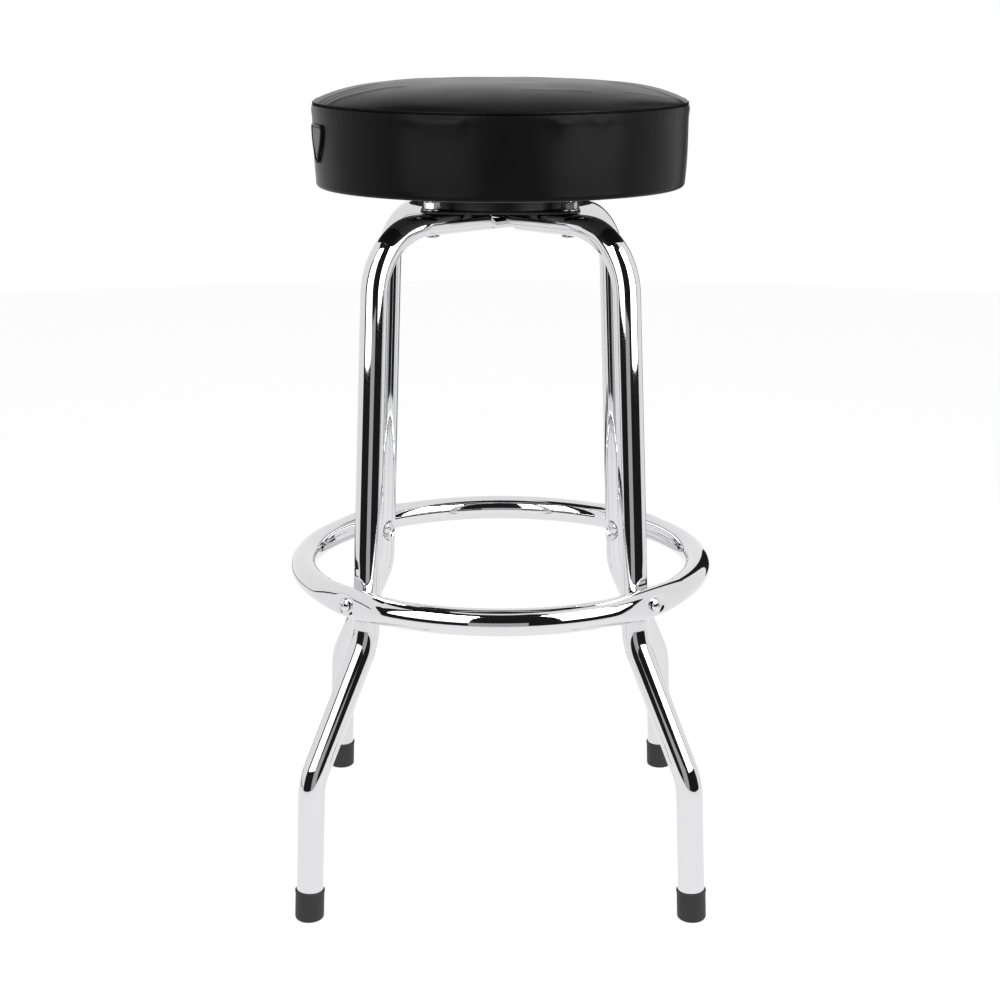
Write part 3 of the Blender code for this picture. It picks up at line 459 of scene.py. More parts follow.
for (name, azimuth), upper in zip(CORNERS, (False, True)):
    shape = bmesh.new()
    path = half_leg_path()
    middle = (Vector((0, run_height)), Vector((1, 0)))
    skin = [leg_ring(*step, -1, azimuth, upper, 0) for step in reversed(path)]
    skin.append(leg_ring(*middle, 1, azimuth, upper, 0))
    skin += [leg_ring(*step, 1, azimuth, upper, 0) for step in path]
    bore = [leg_ring(*step, 1, azimuth, upper, TUBE_WALL) for step in path[::-BORE_STRIDE]]
    back = path[::-BORE_STRIDE][::-1]
    bore += [leg_ring(*step, -1, azimuth, upper, TUBE_WALL) for step in back]
    wrap(shape, skin + bore, loop=True)
    piece("leg_" + name, shape, chrome, "chrome", "frame", "leg_tube_" + name)


# Foot ring: one 25 mm chromed tube bent to a closed ring, screwed to the outside of the legs.
# Its outer side is pressed flat for a hand's width at each screw, which makes the tube taller
# there, with a shallow bowl under the screw's head.
RING_DIMPLE_DEPTH = 0.0050
RING_DIMPLE_REACH = 0.045
RING_DIMPLE_BULGE = 0.0020
RING_BOWL_DEPTH = 0.0009
RING_BOWL_RADIUS = 0.0075
RING_BOWL_RUNOUT = 0.0060
RING_FLAT_SOFTNESS = 0.0014
RING_FINE_REACH = 1.15
RING_FINE_STEPS = 48
RING_PLAIN_STEPS = 40


def spot(turn, radius, height):
    """A point at a turn round Z."""
    return outward(turn) * radius + Vector((0, 0, height))


def ring_section(turn):
    """The ring's outline at one angle, with the flat and the bowl if a screw is near."""
    from_screw = min((math.remainder(turn - corner, math.tau) for _, corner in CORNERS), key=abs)
    beside = ring_radius * from_screw
    pressed = 1 - (beside / RING_DIMPLE_REACH) ** 2
    flat = TUBE_RADIUS - (RING_DIMPLE_DEPTH - RING_BOWL_DEPTH) * pressed
    bulge = RING_DIMPLE_BULGE * max(pressed, 0)
    points = []
    for i in range(TUBE_SIDES):
        up, along = math.sin(math.tau * i / TUBE_SIDES), math.cos(math.tau * i / TUBE_SIDES)
        height = up * (TUBE_RADIUS + bulge * ease(2 * along + 1))
        past = (math.hypot(beside, height + RING_SCREW_DROP) - RING_BOWL_RADIUS) / RING_BOWL_RUNOUT
        bowl = flat - RING_BOWL_DEPTH * (1 - ease(past))
        reach = soft_least(TUBE_RADIUS * along, bowl, RING_FLAT_SOFTNESS)
        points.append(spot(turn, ring_radius + reach, ring_height + height))
    return points


shape = bmesh.new()
turns = []
fine = RING_DIMPLE_REACH * RING_FINE_REACH / ring_radius
coarse = (math.pi / 2 - 2 * fine) / RING_PLAIN_STEPS
for _, azimuth in CORNERS:
    turns += [azimuth + fine * (i / RING_FINE_STEPS) for i in range(-RING_FINE_STEPS, RING_FINE_STEPS + 1)]
    turns += [azimuth + fine + coarse * i for i in range(1, RING_PLAIN_STEPS)]
wrap(shape, [ring_section(turn) for turn in turns], loop=True)
piece("ring", shape, chrome, "chrome", "frame", "foot_ring")


# Screws and sleeve nuts of the foot ring: chromed, with a domed head and a cross recess. The
# screw goes through ring and leg, square to the leg, into the sleeve of the nut.
SCREW_RADIUS = 0.003
HEAD_RADIUS = 0.0063
HEAD_HEIGHT = 0.0034
HEAD_EDGE = 0.0003
SLEEVE_WALL = 0.0011
SLEEVE_LENGTH = 0.0100
SLEEVE_HEAD_HEIGHT = 0.0032
RECESS_WIDTH = 0.0011
RECESS_LENGTH = 0.0046
RECESS_DEPTH = 0.0015
RECESS_TAPER = 0.55
# How the cross of each screw and nut happens to stand, in degrees
RECESS_TURNS = (35, 85, 135, 185)
TURNED_STEPS = 48
DOME_STEPS = 8

screw_to_leg = (screw_middle - ring_seat).dot(leg_out)
lean = math.atan2(leg_out.y, leg_out.x)
screw_seat = TUBE_RADIUS - RING_DIMPLE_DEPTH + HEAD_RADIUS * math.tan(lean) + GAP
nut_seat = LEG_DIMPLE_DEPTH - TUBE_RADIUS - screw_to_leg - GAP


def circle(radius, height, steps=TURNED_STEPS):
    return [spot(math.tau * i / steps, radius, height) for i in range(steps)]


def turned(outline, steps=TURNED_STEPS):
    """A closed body from the outline of its section, as (radius, height) points round Z."""
    shape = bmesh.new()
    wrap(shape, [circle(radius, height, steps) for radius, height in outline], loop=outline[0][0] > 0)
    return shape


def quarter(radius, height, width, rise):
    """Points of a quarter ellipse, from the side (radius, height) to the top of its rounding."""
    turns = [math.pi / 2 * i / DOME_STEPS for i in range(DOME_STEPS + 1)]
    return [(radius - width * (1 - math.cos(turn)), height + rise * math.sin(turn)) for turn in turns]


def carved(shape, cutter):
    """Cut one bmesh out of another, and return what is left."""
    made = []
    for part in (shape, cutter):
        bmesh.ops.recalc_face_normals(part, faces=part.faces)
        mesh = bpy.data.meshes.new("cut")
        part.to_mesh(mesh)
        part.free()
        made.append(bpy.data.objects.new("cut", mesh))
        bpy.context.scene.collection.objects.link(made[-1])
    cut = made[0].modifiers.new("cut", "BOOLEAN")
    cut.operation = "DIFFERENCE"
    cut.solver = "EXACT"
    cut.object = made[1]
    left = bmesh.new()
    left.from_object(made[0], bpy.context.evaluated_depsgraph_get())
    for each in made:
        mesh = each.data
        bpy.data.objects.remove(each)
        bpy.data.meshes.remove(mesh)
    return left


def cross(top):
    """A cutter for a cross recess: a plus sign that tapers into the head."""
    rings = []
    low, high = top - RECESS_DEPTH, top + RECESS_DEPTH
    for share, height in ((0, low), (RECESS_TAPER, low), (1, high), (0, high)):
        far, near = RECESS_LENGTH / 2 * share, RECESS_WIDTH / 2 * math.sqrt(share)
        turns = [Matrix.Rotation(math.pi / 2 * i, 3, "Z") for i in range(4)]
        arm = ((far, near, height), (near, near, height), (near, far, height))
        rings.append([turn @ Vector(point) for turn in turns for point in arm])
    shape = bmesh.new()
    wrap(shape, rings)
    return shape


def placed(shape, place):
    """Turn and move a bmesh to its place."""
    bmesh.ops.transform(shape, matrix=place, verts=shape.verts)
    return shape


screw_outline = [(0, nut_seat + GAP), (SCREW_RADIUS, nut_seat + GAP), (SCREW_RADIUS, screw_seat)]
screw_outline += [(HEAD_RADIUS, screw_seat)]
screw_outline += quarter(HEAD_RADIUS, screw_seat + HEAD_EDGE, HEAD_RADIUS, HEAD_HEIGHT - HEAD_EDGE)
bore = SCREW_RADIUS + GAP
dome = quarter(HEAD_RADIUS, -nut_seat + HEAD_EDGE, HEAD_RADIUS, SLEEVE_HEAD_HEIGHT - HEAD_EDGE)
nut_outline = [(radius, -height) for radius, height in dome[::-1]] + [(HEAD_RADIUS, nut_seat)]
nut_outline += [(bore + SLEEVE_WALL, nut_seat), (bore + SLEEVE_WALL, nut_seat + SLEEVE_LENGTH)]
nut_outline += [(bore, nut_seat + SLEEVE_LENGTH), (bore, nut_seat), (0, nut_seat)]
on_axis = Matrix.Rotation(math.pi / 2 - lean, 4, "Y")
for (name, azimuth), turned_by in zip(CORNERS, RECESS_TURNS):
    middle = spot(azimuth, screw_middle.x, screw_middle.y)
    turn = Matrix.Rotation(math.radians(turned_by), 4, "Z")
    place = Matrix.Translation(middle) @ Matrix.Rotation(azimuth, 4, "Z") @ on_axis @ turn
    shape = carved(turned(screw_outline), cross(screw_seat + HEAD_HEIGHT))
    piece("ring_bolt_" + name, placed(shape, place), chrome, "chrome", "frame", "ring_screw_" + name)
    shape = carved(turned(nut_outline), cross(nut_seat - SLEEVE_HEAD_HEIGHT))
    placed(shape, place)
    piece("sleeve_nut_" + name, shape, chrome, "chrome", "frame", "ring_sleeve_nut_" + name)


# Foot caps: black rubber, pushed on the splayed tube ends, with a rounded sole edge and a
# slightly thicker rim.
CAP_WALL = 0.0011
CAP_HEIGHT = 0.0290
CAP_SOLE_ROUND = 0.0028
CAP_RIM = 0.0024
CAP_RIM_ROUND = 0.0004
CAP_STEPS = 64

rubber, tree, shader = look("rubber", (0.034, 0.034, 0.035), 0.6)
roughen(tree, shader, 240, 0.52, 0.72, 0.00012)

cap_inner = TUBE_RADIUS + GAP
cap_outer = cap_inner + CAP_WALL
cap_side = cap_outer - CAP_RIM_ROUND
sole = quarter(cap_side, 0, CAP_SOLE_ROUND, CAP_SOLE_ROUND)
cap_outline = [(0, 0)] + [(radius, CAP_SOLE_ROUND - height) for radius, height in sole[::-1]]
cap_outline += [(cap_side, CAP_HEIGHT - CAP_RIM), (cap_outer, CAP_HEIGHT - CAP_RIM + CAP_RIM_ROUND)]
cap_outline += [(cap_outer, CAP_HEIGHT - CAP_RIM_ROUND), (cap_outer - CAP_RIM_ROUND, CAP_HEIGHT)]
cap_outline += [(cap_inner, CAP_HEIGHT), (cap_inner, CAP_FLOOR), (0, CAP_FLOOR)]
cap_lean = math.atan2(FOOT_SPLAY, ANKLE_HEIGHT)
for name, azimuth in CORNERS:
    shape = turned(cap_outline, CAP_STEPS)
    for vert in shape.verts:
        low = max(1 - vert.co.z / CAP_SOLE_ROUND, 0)
        vert.co.z -= vert.co.x * math.tan(cap_lean) * low
    foot = Matrix.Translation(outward(azimuth) * leg_corners()[5].x) @ Matrix.Rotation(azimuth, 4, "Z")
    placed(shape, foot @ Matrix.Rotation(-cap_lean, 4, "Y"))
    piece("cap_" + name, shape, rubber, "rubber", "frame", "foot_cap_" + name)


# Swivel: two plates pressed from 2 mm steel and painted black. The lower one lies on the tubes
# and carries the ball track on a raised ridge. The tray is screwed under the seat, and its
# rolled neck hooks below the lower plate.
PLATE_SHEET = 0.0020
RACE_RADIUS = 0.0620
BALL_RADIUS = 0.003175
TRACK_FLAT = 0.0012
TRACK_HALF = 0.0036
TRACK_DIP = 0.0010
RACE_LIFT = 0.0070
RIDGE_REACH = 0.0090
RIDGE_TOP = 0.0020
RIDGE_RISE = 0.0014
TRACK_FLOOR = 0.0140
NECK_PLAY = 0.0020
LIP_WIDTH = 0.0080
PLATE_MARGIN = 0.0010
PLATE_CORNER_POWER = 16
TRAY_LIFT = 0.00415
TRAY_OVERHANG = 0.0125
TRAY_CORNER_POWER = 8
TRAY_LIP = 0.0035
BOLT_INSET = 0.0110
BOLT_RADIUS = 0.0040
WASHER_THICKNESS = 0.0012
NUT_HEIGHT = 0.0065
BOLT_END = 0.0015
PLATE_STEPS = 144
SHEET_EDGE = 0.0006
SOFTENED_ANGLE = math.radians(30)

ridge_radius = RACE_RADIUS + RIDGE_REACH
plate_half = ridge_radius + PLATE_SHEET / 2 + PLATE_MARGIN
tray_half = plate_half + TRAY_OVERHANG
hole_radius = RACE_RADIUS - TRACK_FLOOR
plate_mid = FRAME_HEIGHT + GAP + PLATE_SHEET / 2
race_mid = plate_mid + RACE_LIFT
ball_height = race_mid - TRACK_DIP + PLATE_SHEET / 2 + GAP + BALL_RADIUS
upper_track_mid = ball_height + BALL_RADIUS + GAP + PLATE_SHEET / 2
tray_mid = upper_track_mid + TRAY_LIFT
washer_bottom = plate_mid + PLATE_SHEET / 2 + GAP
nut_bottom = washer_bottom + WASHER_THICKNESS + GAP
bolt_end = nut_bottom + NUT_HEIGHT + BOLT_END


def sheet_outline(line, sheet):
    """The closed outline of a bent sheet, from the centre line of its section."""
    points = [Vector(point) for point in line]
    near, far = [], []
    for i, point in enumerate(points):
        before = (point - points[i - 1]).normalized() if i else None
        after = (points[i + 1] - point).normalized() if i + 1 < len(points) else None
        before = before or after
        after = after or before
        normal = Vector((-before.y - after.y, before.x + after.x)).normalized()
        reach = sheet / 2 / normal.dot(Vector((-before.y, before.x)))
        near.append(point + normal * reach)
        far.append(point - normal * reach)
    return near + far[::-1]


def soften(shape, width):
    """Round the sharp edges of a bmesh."""
    edges = [edge for edge in shape.edges if edge.calc_face_angle(0) > SOFTENED_ANGLE]
    bmesh.ops.bevel(shape, geom=edges, offset=width, offset_type="OFFSET", segments=2, profile=0.5,
                    affect="EDGES", clamp_overlap=True)
    return shape


def pressed_plate(line, from_radius, power):
    """A turned sheet whose outer part is drawn out to a square with rounded corners."""
    shape = turned(sheet_outline(line, PLATE_SHEET), PLATE_STEPS)
    soften(shape, SHEET_EDGE)
    for vert in shape.verts:
        radius = vert.co.xy.length
        if radius > from_radius:
            c, s = abs(vert.co.x) / radius, abs(vert.co.y) / radius
            spread = (c ** power + s ** power) ** (-1 / power)
            vert.co.x *= spread
            vert.co.y *= spread
    return shape


paint, tree, shader = look("black_steel", (0.008, 0.008, 0.0085), 0.34)
roughen(tree, shader, 320, 0.28, 0.42, 0.00004)

neck = hole_radius - NECK_PLAY - PLATE_SHEET / 2
lip_mid = race_mid - PLATE_SHEET - GAP
floor_mid = upper_track_mid - TRACK_DIP
rim_mid = tray_half - PLATE_SHEET / 2
plate_line = (
    (hole_radius, race_mid),
    (RACE_RADIUS - TRACK_HALF, race_mid),
    (RACE_RADIUS - TRACK_FLAT, race_mid - TRACK_DIP),
    (RACE_RADIUS + TRACK_FLAT, race_mid - TRACK_DIP),
    (RACE_RADIUS + TRACK_HALF, race_mid),
    (ridge_radius - RIDGE_TOP, race_mid + RIDGE_RISE),
    (ridge_radius, race_mid + RIDGE_RISE),
    (ridge_radius, plate_mid),
    (plate_half, plate_mid),
)
tray_line = (
    (neck + LIP_WIDTH, lip_mid),
    (neck, lip_mid),
    (neck, floor_mid),
    (RACE_RADIUS - TRACK_HALF, floor_mid),
    (RACE_RADIUS - TRACK_FLAT, upper_track_mid),
    (RACE_RADIUS + TRACK_FLAT, upper_track_mid),
    (RACE_RADIUS + TRACK_HALF, floor_mid),
    (ridge_radius - RIDGE_TOP, floor_mid),
    (ridge_radius + PLATE_SHEET / 2, tray_mid),
    (rim_mid, tray_mid),
    (rim_mid, tray_mid - TRAY_LIP),
)
shape = pressed_plate(plate_line, ridge_radius + PLATE_SHEET / 2 + GAP, PLATE_CORNER_POWER)
piece("lower_plate", shape, paint, "black_steel", "frame", "swivel_lower_plate")
shape = pressed_plate(tray_line, plate_half, TRAY_CORNER_POWER)
piece("upper_tray", shape, paint, "black_steel", "seat", "swivel_upper_tray")


# Ball cage: ten steel balls in a flat pressed ring. Nothing fixes it: it lies between the tracks
# of the two plates and rolls along at half the seat's turn.
BALL_COUNT = 10
CAGE_HALF_WIDTH = 0.0024
CAGE_THICKNESS = 0.0010
CAGE_STEPS = 96

steel, tree, shader = look("steel", (0.50, 0.50, 0.51), 0.3, 1.0)
roughen(tree, shader, 180, 0.2, 0.38, 0.00002)

cage_line = ((RACE_RADIUS - CAGE_HALF_WIDTH, ball_height), (RACE_RADIUS + CAGE_HALF_WIDTH, ball_height))
shape = turned(sheet_outline(cage_line, CAGE_THICKNESS), CAGE_STEPS)
for i in range(BALL_COUNT):
    place = Matrix.Translation(spot(math.tau * i / BALL_COUNT, RACE_RADIUS, ball_height))
    bmesh.ops.create_uvsphere(shape, u_segments=24, v_segments=16, radius=BALL_RADIUS, matrix=place)
piece("cage", shape, steel, "steel", "bearing", "ball_cage")


# Frame bolts: zinc-plated bolts with a low domed head, up through the flattened tubes, each
# with a washer and a hexagon nut on the plate.
BOLT_HEAD_RADIUS = 0.0065
BOLT_HEAD_HEIGHT = 0.0020
BOLT_HEAD_EDGE = 0.0005
WASHER_RADIUS = 0.0080
NUT_WIDTH = 0.0130
HEX_CHAMFER_START = 0.90
HEX_CHAMFER_ANGLE = math.radians(25)
HEX_STEPS = 72
# How each nut happens to stand, in degrees
NUT_TURNS = (-1, -8, 0, 20)

zinc, tree, shader = look("zinc", (0.46, 0.46, 0.47), 0.26, 1.0)
roughen(tree, shader, 260, 0.20, 0.32, 0.000004)

bolt_circle = (plate_half - BOLT_INSET) * math.sqrt(2)


def hexagon(face, other):
    """Two rings at one face of a hexagon nut: the chamfer's circle, and its cut on the flats."""
    inner = NUT_WIDTH / 2 * HEX_CHAMFER_START
    rim = []
    for i in range(HEX_STEPS):
        turn = math.tau * i / HEX_STEPS
        radius = NUT_WIDTH / 2 / math.cos(math.fmod(turn, math.pi / 3) - math.pi / 6)
        fall = (radius - inner) * math.tan(HEX_CHAMFER_ANGLE)
        rim.append(spot(turn, radius, face - math.copysign(fall, face - other)))
    return [circle(inner, face, HEX_STEPS), rim]


head_top = FRAME_HEIGHT - FLAT_HEIGHT - GAP
nut_top = nut_bottom + NUT_HEIGHT
for (name, azimuth), nut_turn in zip(CORNERS, NUT_TURNS):
    place = Matrix.Translation(outward(azimuth) * bolt_circle) @ Matrix.Rotation(azimuth, 4, "Z")
    dome = quarter(BOLT_HEAD_RADIUS, BOLT_HEAD_EDGE, BOLT_HEAD_RADIUS, BOLT_HEAD_HEIGHT - BOLT_HEAD_EDGE)
    outline = [(radius, head_top - height) for radius, height in dome[::-1]]
    outline += [(BOLT_HEAD_RADIUS, head_top), (BOLT_RADIUS, head_top), (BOLT_RADIUS, bolt_end - GAP)]
    outline += [(BOLT_RADIUS - GAP, bolt_end), (0, bolt_end)]
    shape = placed(turned(outline), place)
    piece("bolt_" + name, shape, zinc, "zinc", "frame", "frame_bolt_" + name)
    bore = BOLT_RADIUS + GAP
    rings = [circle(bore, nut_bottom, HEX_STEPS)] + hexagon(nut_bottom, nut_top)
    rings += hexagon(nut_top, nut_bottom)[::-1] + [circle(bore, nut_top, HEX_STEPS)]
    shape = bmesh.new()
    wrap(shape, rings, loop=True)
    placed(shape, place @ Matrix.Rotation(math.radians(nut_turn), 4, "Z"))
    piece("plate_nut_" + name, shape, zinc, "zinc", "frame", "frame_nut_" + name)
    washer_top = washer_bottom + WASHER_THICKNESS
    outline = [(bore, washer_bottom), (WASHER_RADIUS, washer_bottom)]
    outline += [(WASHER_RADIUS, washer_top), (bore, washer_top)]
    shape = placed(soften(turned(outline), GAP), place)
    piece("plate_washer_" + name, shape, zinc, "zinc", "frame", "frame_washer_" + name)


# Seat board: a plywood disc, stained black. The tray lies against its underside, fixed by four
# zinc-plated screws that go up through it into the wood.
BOARD_THICKNESS = 0.0120
SEAT_SCREW_INSET = 0.0175
SEAT_SCREW_RADIUS = 0.0024
SEAT_SCREW_HEAD = 0.0045
SEAT_SCREW_HEAD_HEIGHT = 0.0026
SEAT_SCREW_BITE = 0.0090

board_bottom = tray_mid + PLATE_SHEET / 2 + GAP
screw_circle = (tray_half - SEAT_SCREW_INSET) * math.sqrt(2)

stained, tree, shader = look("stained_plywood", (0.025, 0.025, 0.025), 0.7)
coords = node(tree, "TexCoord")
stretched = node(tree, "Mapping", {"Vector": coords.outputs["Object"], "Scale": (14, 160, 60)})
grain = node(tree, "TexNoise", {"Vector": stretched.outputs[0], "Scale": 1, "Detail": 6})
tint = node(tree, "ValToRGB", {0: grain.outputs[0]})
tint.color_ramp.elements[0].color = (0.020, 0.020, 0.020, 1)
tint.color_ramp.elements[1].color = (0.032, 0.031, 0.030, 1)
tree.links.new(tint.outputs[0], shader.inputs["Base Color"])
relief = node(tree, "Bump", {"Height": grain.outputs[0], "Distance": 0.0001})
tree.links.new(relief.outputs[0], shader.inputs["Normal"])
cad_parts["seat_board"].material_slots[0].material = stained

head_top = tray_mid - PLATE_SHEET / 2 - GAP
outline = [(0, board_bottom + SEAT_SCREW_BITE)]
outline += [(SEAT_SCREW_RADIUS, board_bottom + SEAT_SCREW_BITE - SEAT_SCREW_RADIUS)]
outline += [(SEAT_SCREW_RADIUS, head_top), (SEAT_SCREW_HEAD, head_top)]
rounding = quarter(SEAT_SCREW_HEAD, GAP, SEAT_SCREW_HEAD, SEAT_SCREW_HEAD_HEIGHT - GAP)
outline += [(radius, head_top - height) for radius, height in rounding]
for name, azimuth in CORNERS:
    shape = carved(turned(outline), cross(head_top - SEAT_SCREW_HEAD_HEIGHT))
    placed(shape, Matrix.Translation(outward(azimuth) * screw_circle))
    piece("board_screw_" + name, shape, zinc, "zinc", "seat", "seat_screw_" + name)


# Foam: one cut block that lies on the board and reaches down over its edge. Its sides and its
# crowned top follow the cover, a little inside it.
SEAT_RADIUS = 0.1749
SEAM_HEIGHT = 0.0725
CROWN = 0.0224
CROWN_POWER = 4.32
CROWN_EDGE_SHARE = 0.74
COVER = 0.0012
WELT_RADIUS = 0.0014
BOARD_INSET = 0.0095
HEM_ROUND = 0.0040
# Height share of the band and radius share of the seat, from the seam down
BAND_SHARES = ((1.0, 0.9925), (0.93, 1.0), (0.82, 0.996), (0.55, 0.994), (0.28, 0.991), (0.0, 0.984))
FOAM_BELOW_SEAM = 0.0056
FOAM_SIDE_ROWS = 12
FOAM_SHARES = (0.93, 0.88, 0.82, 0.74, 0.66, 0.53, 0.4, 0.2, 0)
FOAM_STEPS = 128

hem_top = board_bottom - GAP
hem_bottom = hem_top - COVER
seam_z = board_bottom + SEAM_HEIGHT
seam_radius = SEAT_RADIUS * BAND_SHARES[0][1]
band_bottom = hem_bottom + HEM_ROUND
crown_edge = seam_z + GAP


def spline(knots, x):
    """A smooth curve through (x, y) knots, which run from high to low x."""
    i = next((i for i in range(1, len(knots)) if x >= knots[i][0]), len(knots) - 1)
    (x0, y0), (x1, y1) = knots[i - 1], knots[i]

    def slope(j):
        before, after = knots[max(j - 1, 0)], knots[min(j + 1, len(knots) - 1)]
        return (after[1] - before[1]) / (after[0] - before[0])

    span, t = x1 - x0, (x - x0) / (x1 - x0)
    bend = (slope(i - 1) * (1 - t) - slope(i) * t) * span - (1 - 2 * t) * (y1 - y0)
    return lerp(y0, y1, t) + t * (1 - t) * bend


def band_radius(height):
    return SEAT_RADIUS * spline(BAND_SHARES, (height - band_bottom) / (seam_z - band_bottom))


def crown_point(share, below=0.0):
    """A point of the crowned top at a share of the seam's radius, or that far below its surface."""
    lift = (1 - share ** CROWN_POWER) ** CROWN_EDGE_SHARE
    height = crown_edge + (seam_z + CROWN - crown_edge) * lift
    drop = below * (1 - share ** CROWN_POWER)
    return (seam_radius - below * share ** CROWN_POWER) * share, height - drop


foam_look, tree, shader = look("foam", (0.62, 0.58, 0.42), 0.95)
place = node(tree, "TexCoord").outputs["Object"]
pores = node(tree, "TexVoronoi", {"Vector": place, "Scale": 700})
relief = node(tree, "Bump", {"Height": pores.outputs[0], "Distance": 0.0006})
tree.links.new(relief.outputs[0], shader.inputs["Normal"])

skin = COVER + GAP
board_edge = SEAT_RADIUS - BOARD_INSET + GAP
foam_low = hem_top + COVER
board_top = board_bottom + BOARD_THICKNESS + GAP
outline = [(0, board_top), (board_edge, board_top), (board_edge, foam_low)]
for i in range(FOAM_SIDE_ROWS + 1):
    height = lerp(foam_low, seam_z - FOAM_BELOW_SEAM, i / FOAM_SIDE_ROWS)
    outline.append((band_radius(height) - skin - WELT_RADIUS, height))
for share in FOAM_SHARES:
    radius, height = crown_point(share)
    outline.append((radius, height - skin - COVER))
foam = piece("foam", turned(outline, FOAM_STEPS), foam_look, "foam", "seat", "seat_foam")


# Top panel: black embossed vinyl drawn over the foam and sewn to the side band. Use has left
# creases in it, and the seam, which stands higher at the sides, gathers its edge a little.
SEAT_STEPS = 540
CROWN_ROWS = 48
CROWN_ROW_POWER = 1.6
CROWN_SLOPE = 1.6
INNER_SHARES = (1, 0.99, 0.96, 0.9, 0.75, 0.4, 0)
TOP_SHEET = 0.0018
SEAM_RISE = 0.0020
SEAM_RISE_POWER = 16
PUCKER_PITCH = 0.0085
PUCKER_DEPTH = 0.0001
PUCKER_REACH = 0.012
PUCKER_IN_POWER = 6
UNEVEN_SCALE = 9
UNEVEN_SHIFT = 5
UNEVEN_LEAST = 0.6
SWELL = 0.0006
SWELL_SCALE = 22
# How fast each form grows from the seam inwards, over the share of the radius
SWELL_GROWTH = 12
PUCKER_GROWTH = 30
CREASE_GROWTH = 300
CREASE_CUTOFF = 3
VINYL_SPREAD = 0.05
# Creases of the used top: height, half-width and points seen from above
CREASES = (
    (0.0008, 0.0050, ((-0.150, -0.081), (-0.120, -0.084), (-0.099, -0.078), (-0.087, -0.081))),
    (0.0006, 0.0040, ((-0.163, -0.055), (-0.140, -0.052), (-0.113, -0.036))),
    (0.0004, 0.0030, ((-0.157, -0.068), (-0.136, -0.066), (-0.118, -0.060))),
    (0.0006, 0.0045, ((0.163, -0.052), (0.132, -0.043), (0.101, -0.024))),
    (0.0004, 0.0040, ((0.022, -0.1235), (0.051, -0.121), (0.076, -0.114))),
    (0.0003, 0.0035, ((0.111, -0.094), (0.138, -0.078), (0.160, -0.052))),
    (0.0006, 0.0014, ((-0.1700, 0.0209), (-0.1712, 0.0), (-0.1704, -0.0179))),
    (0.0006, 0.0014, ((0.1700, 0.0209), (0.1712, 0.0), (0.1704, -0.0179))),
)

around = [math.tau * i / SEAT_STEPS for i in range(SEAT_STEPS)]


def swell(place):
    """How far the vinyl stands out over the uneven foam."""
    return SWELL * noise.noise(place * SWELL_SCALE)


def seam_rise(turn):
    return Vector((0, 0, SEAM_RISE * math.cos(turn) ** 2))


def pucker(turn, from_seam):
    """How deep the seam's gathers draw the vinyl in, at a distance from it."""
    wave = turn * seam_radius / PUCKER_PITCH * math.tau
    uneven = noise.noise(outward(turn) * UNEVEN_SCALE)
    depth = PUCKER_DEPTH * (1 + math.sin(wave + UNEVEN_SHIFT * uneven)) * (UNEVEN_LEAST + uneven)
    return depth * math.exp(-from_seam / PUCKER_REACH)


def crease(place):
    """How far the creases lift the vinyl at a place on the crown."""
    lift = 0
    for height, width, points in CREASES:
        nearest = width * CREASE_CUTOFF
        for start, end in zip(points, points[1:]):
            start, span = Vector(start), Vector(end) - Vector(start)
            share = min(max((place.xy - start).dot(span) / span.length_squared, 0), 1)
            nearest = min(nearest, (place.xy - start - span * share).length)
        lift += height * math.exp(-(nearest / width) ** 2)
    return lift


def vinyl_look(name, low, high, roughness):
    """Embossed vinyl: small leather cells, a fine grain, and a colour that varies little."""
    made, tree, shader = look(name, high, roughness)
    place = node(tree, "TexCoord").outputs["Object"]
    cells = node(tree, "TexVoronoi", {"Vector": place, "Scale": 900}, feature="SMOOTH_F1")
    fine = node(tree, "TexNoise", {"Vector": place, "Scale": 2200, "Detail": 3})
    worn = node(tree, "TexNoise", {"Vector": place, "Scale": 30, "Detail": 5})
    tint = node(tree, "Mix", {0: worn.outputs[0], 6: (*low, 1), 7: (*high, 1)}, data_type="RGBA")
    tree.links.new(tint.outputs[2], shader.inputs["Base Color"])
    spread = node(tree, "MapRange", {"Value": worn.outputs[0], "To Min": roughness - VINYL_SPREAD,
                                     "To Max": roughness + VINYL_SPREAD})
    tree.links.new(spread.outputs[0], shader.inputs["Roughness"])
    coarse = node(tree, "Bump", {"Height": cells.outputs[0], "Distance": 0.00010, "Strength": 0.4})
    both = node(tree, "Bump", {"Height": fine.outputs[0], "Distance": 0.00003, "Normal": coarse.outputs[0]})
    tree.links.new(both.outputs[0], shader.inputs["Normal"])
    return made, shader


vinyl, shader = vinyl_look("black_vinyl", (0.0042, 0.0042, 0.0044), (0.0062, 0.0062, 0.0064), 0.30)
shader.inputs["Specular IOR Level"].default_value = 0.07

rings = []
for row in range(CROWN_ROWS + 1):
    share = 1 - (1 - row / CROWN_ROWS) ** CROWN_ROW_POWER
    inwards = 1 - share
    radius, height = crown_point(share)
    ring = []
    for turn in around:
        place = spot(turn, radius, height)
        drawn = pucker(turn, seam_radius * inwards * CROWN_SLOPE) * ease(inwards * PUCKER_GROWTH)
        lifted = crease(place) * ease(inwards * CREASE_GROWTH)
        place.z += swell(place) * ease(inwards * SWELL_GROWTH) + lifted - drawn * (1 - share ** 2)
        place -= outward(turn) * drawn * share ** PUCKER_IN_POWER
        ring.append(place + seam_rise(turn) * share ** SEAM_RISE_POWER)
    rings.append(ring)
for share in INNER_SHARES:
    radius, height = crown_point(share, TOP_SHEET)
    risen = share ** SEAM_RISE_POWER
    rings.append([spot(turn, radius, height) + seam_rise(turn) * risen for turn in around])
shape = bmesh.new()
wrap(shape, rings)
top = piece("top_panel", shape, vinyl, "black_vinyl", "seat", "seat_top_panel")


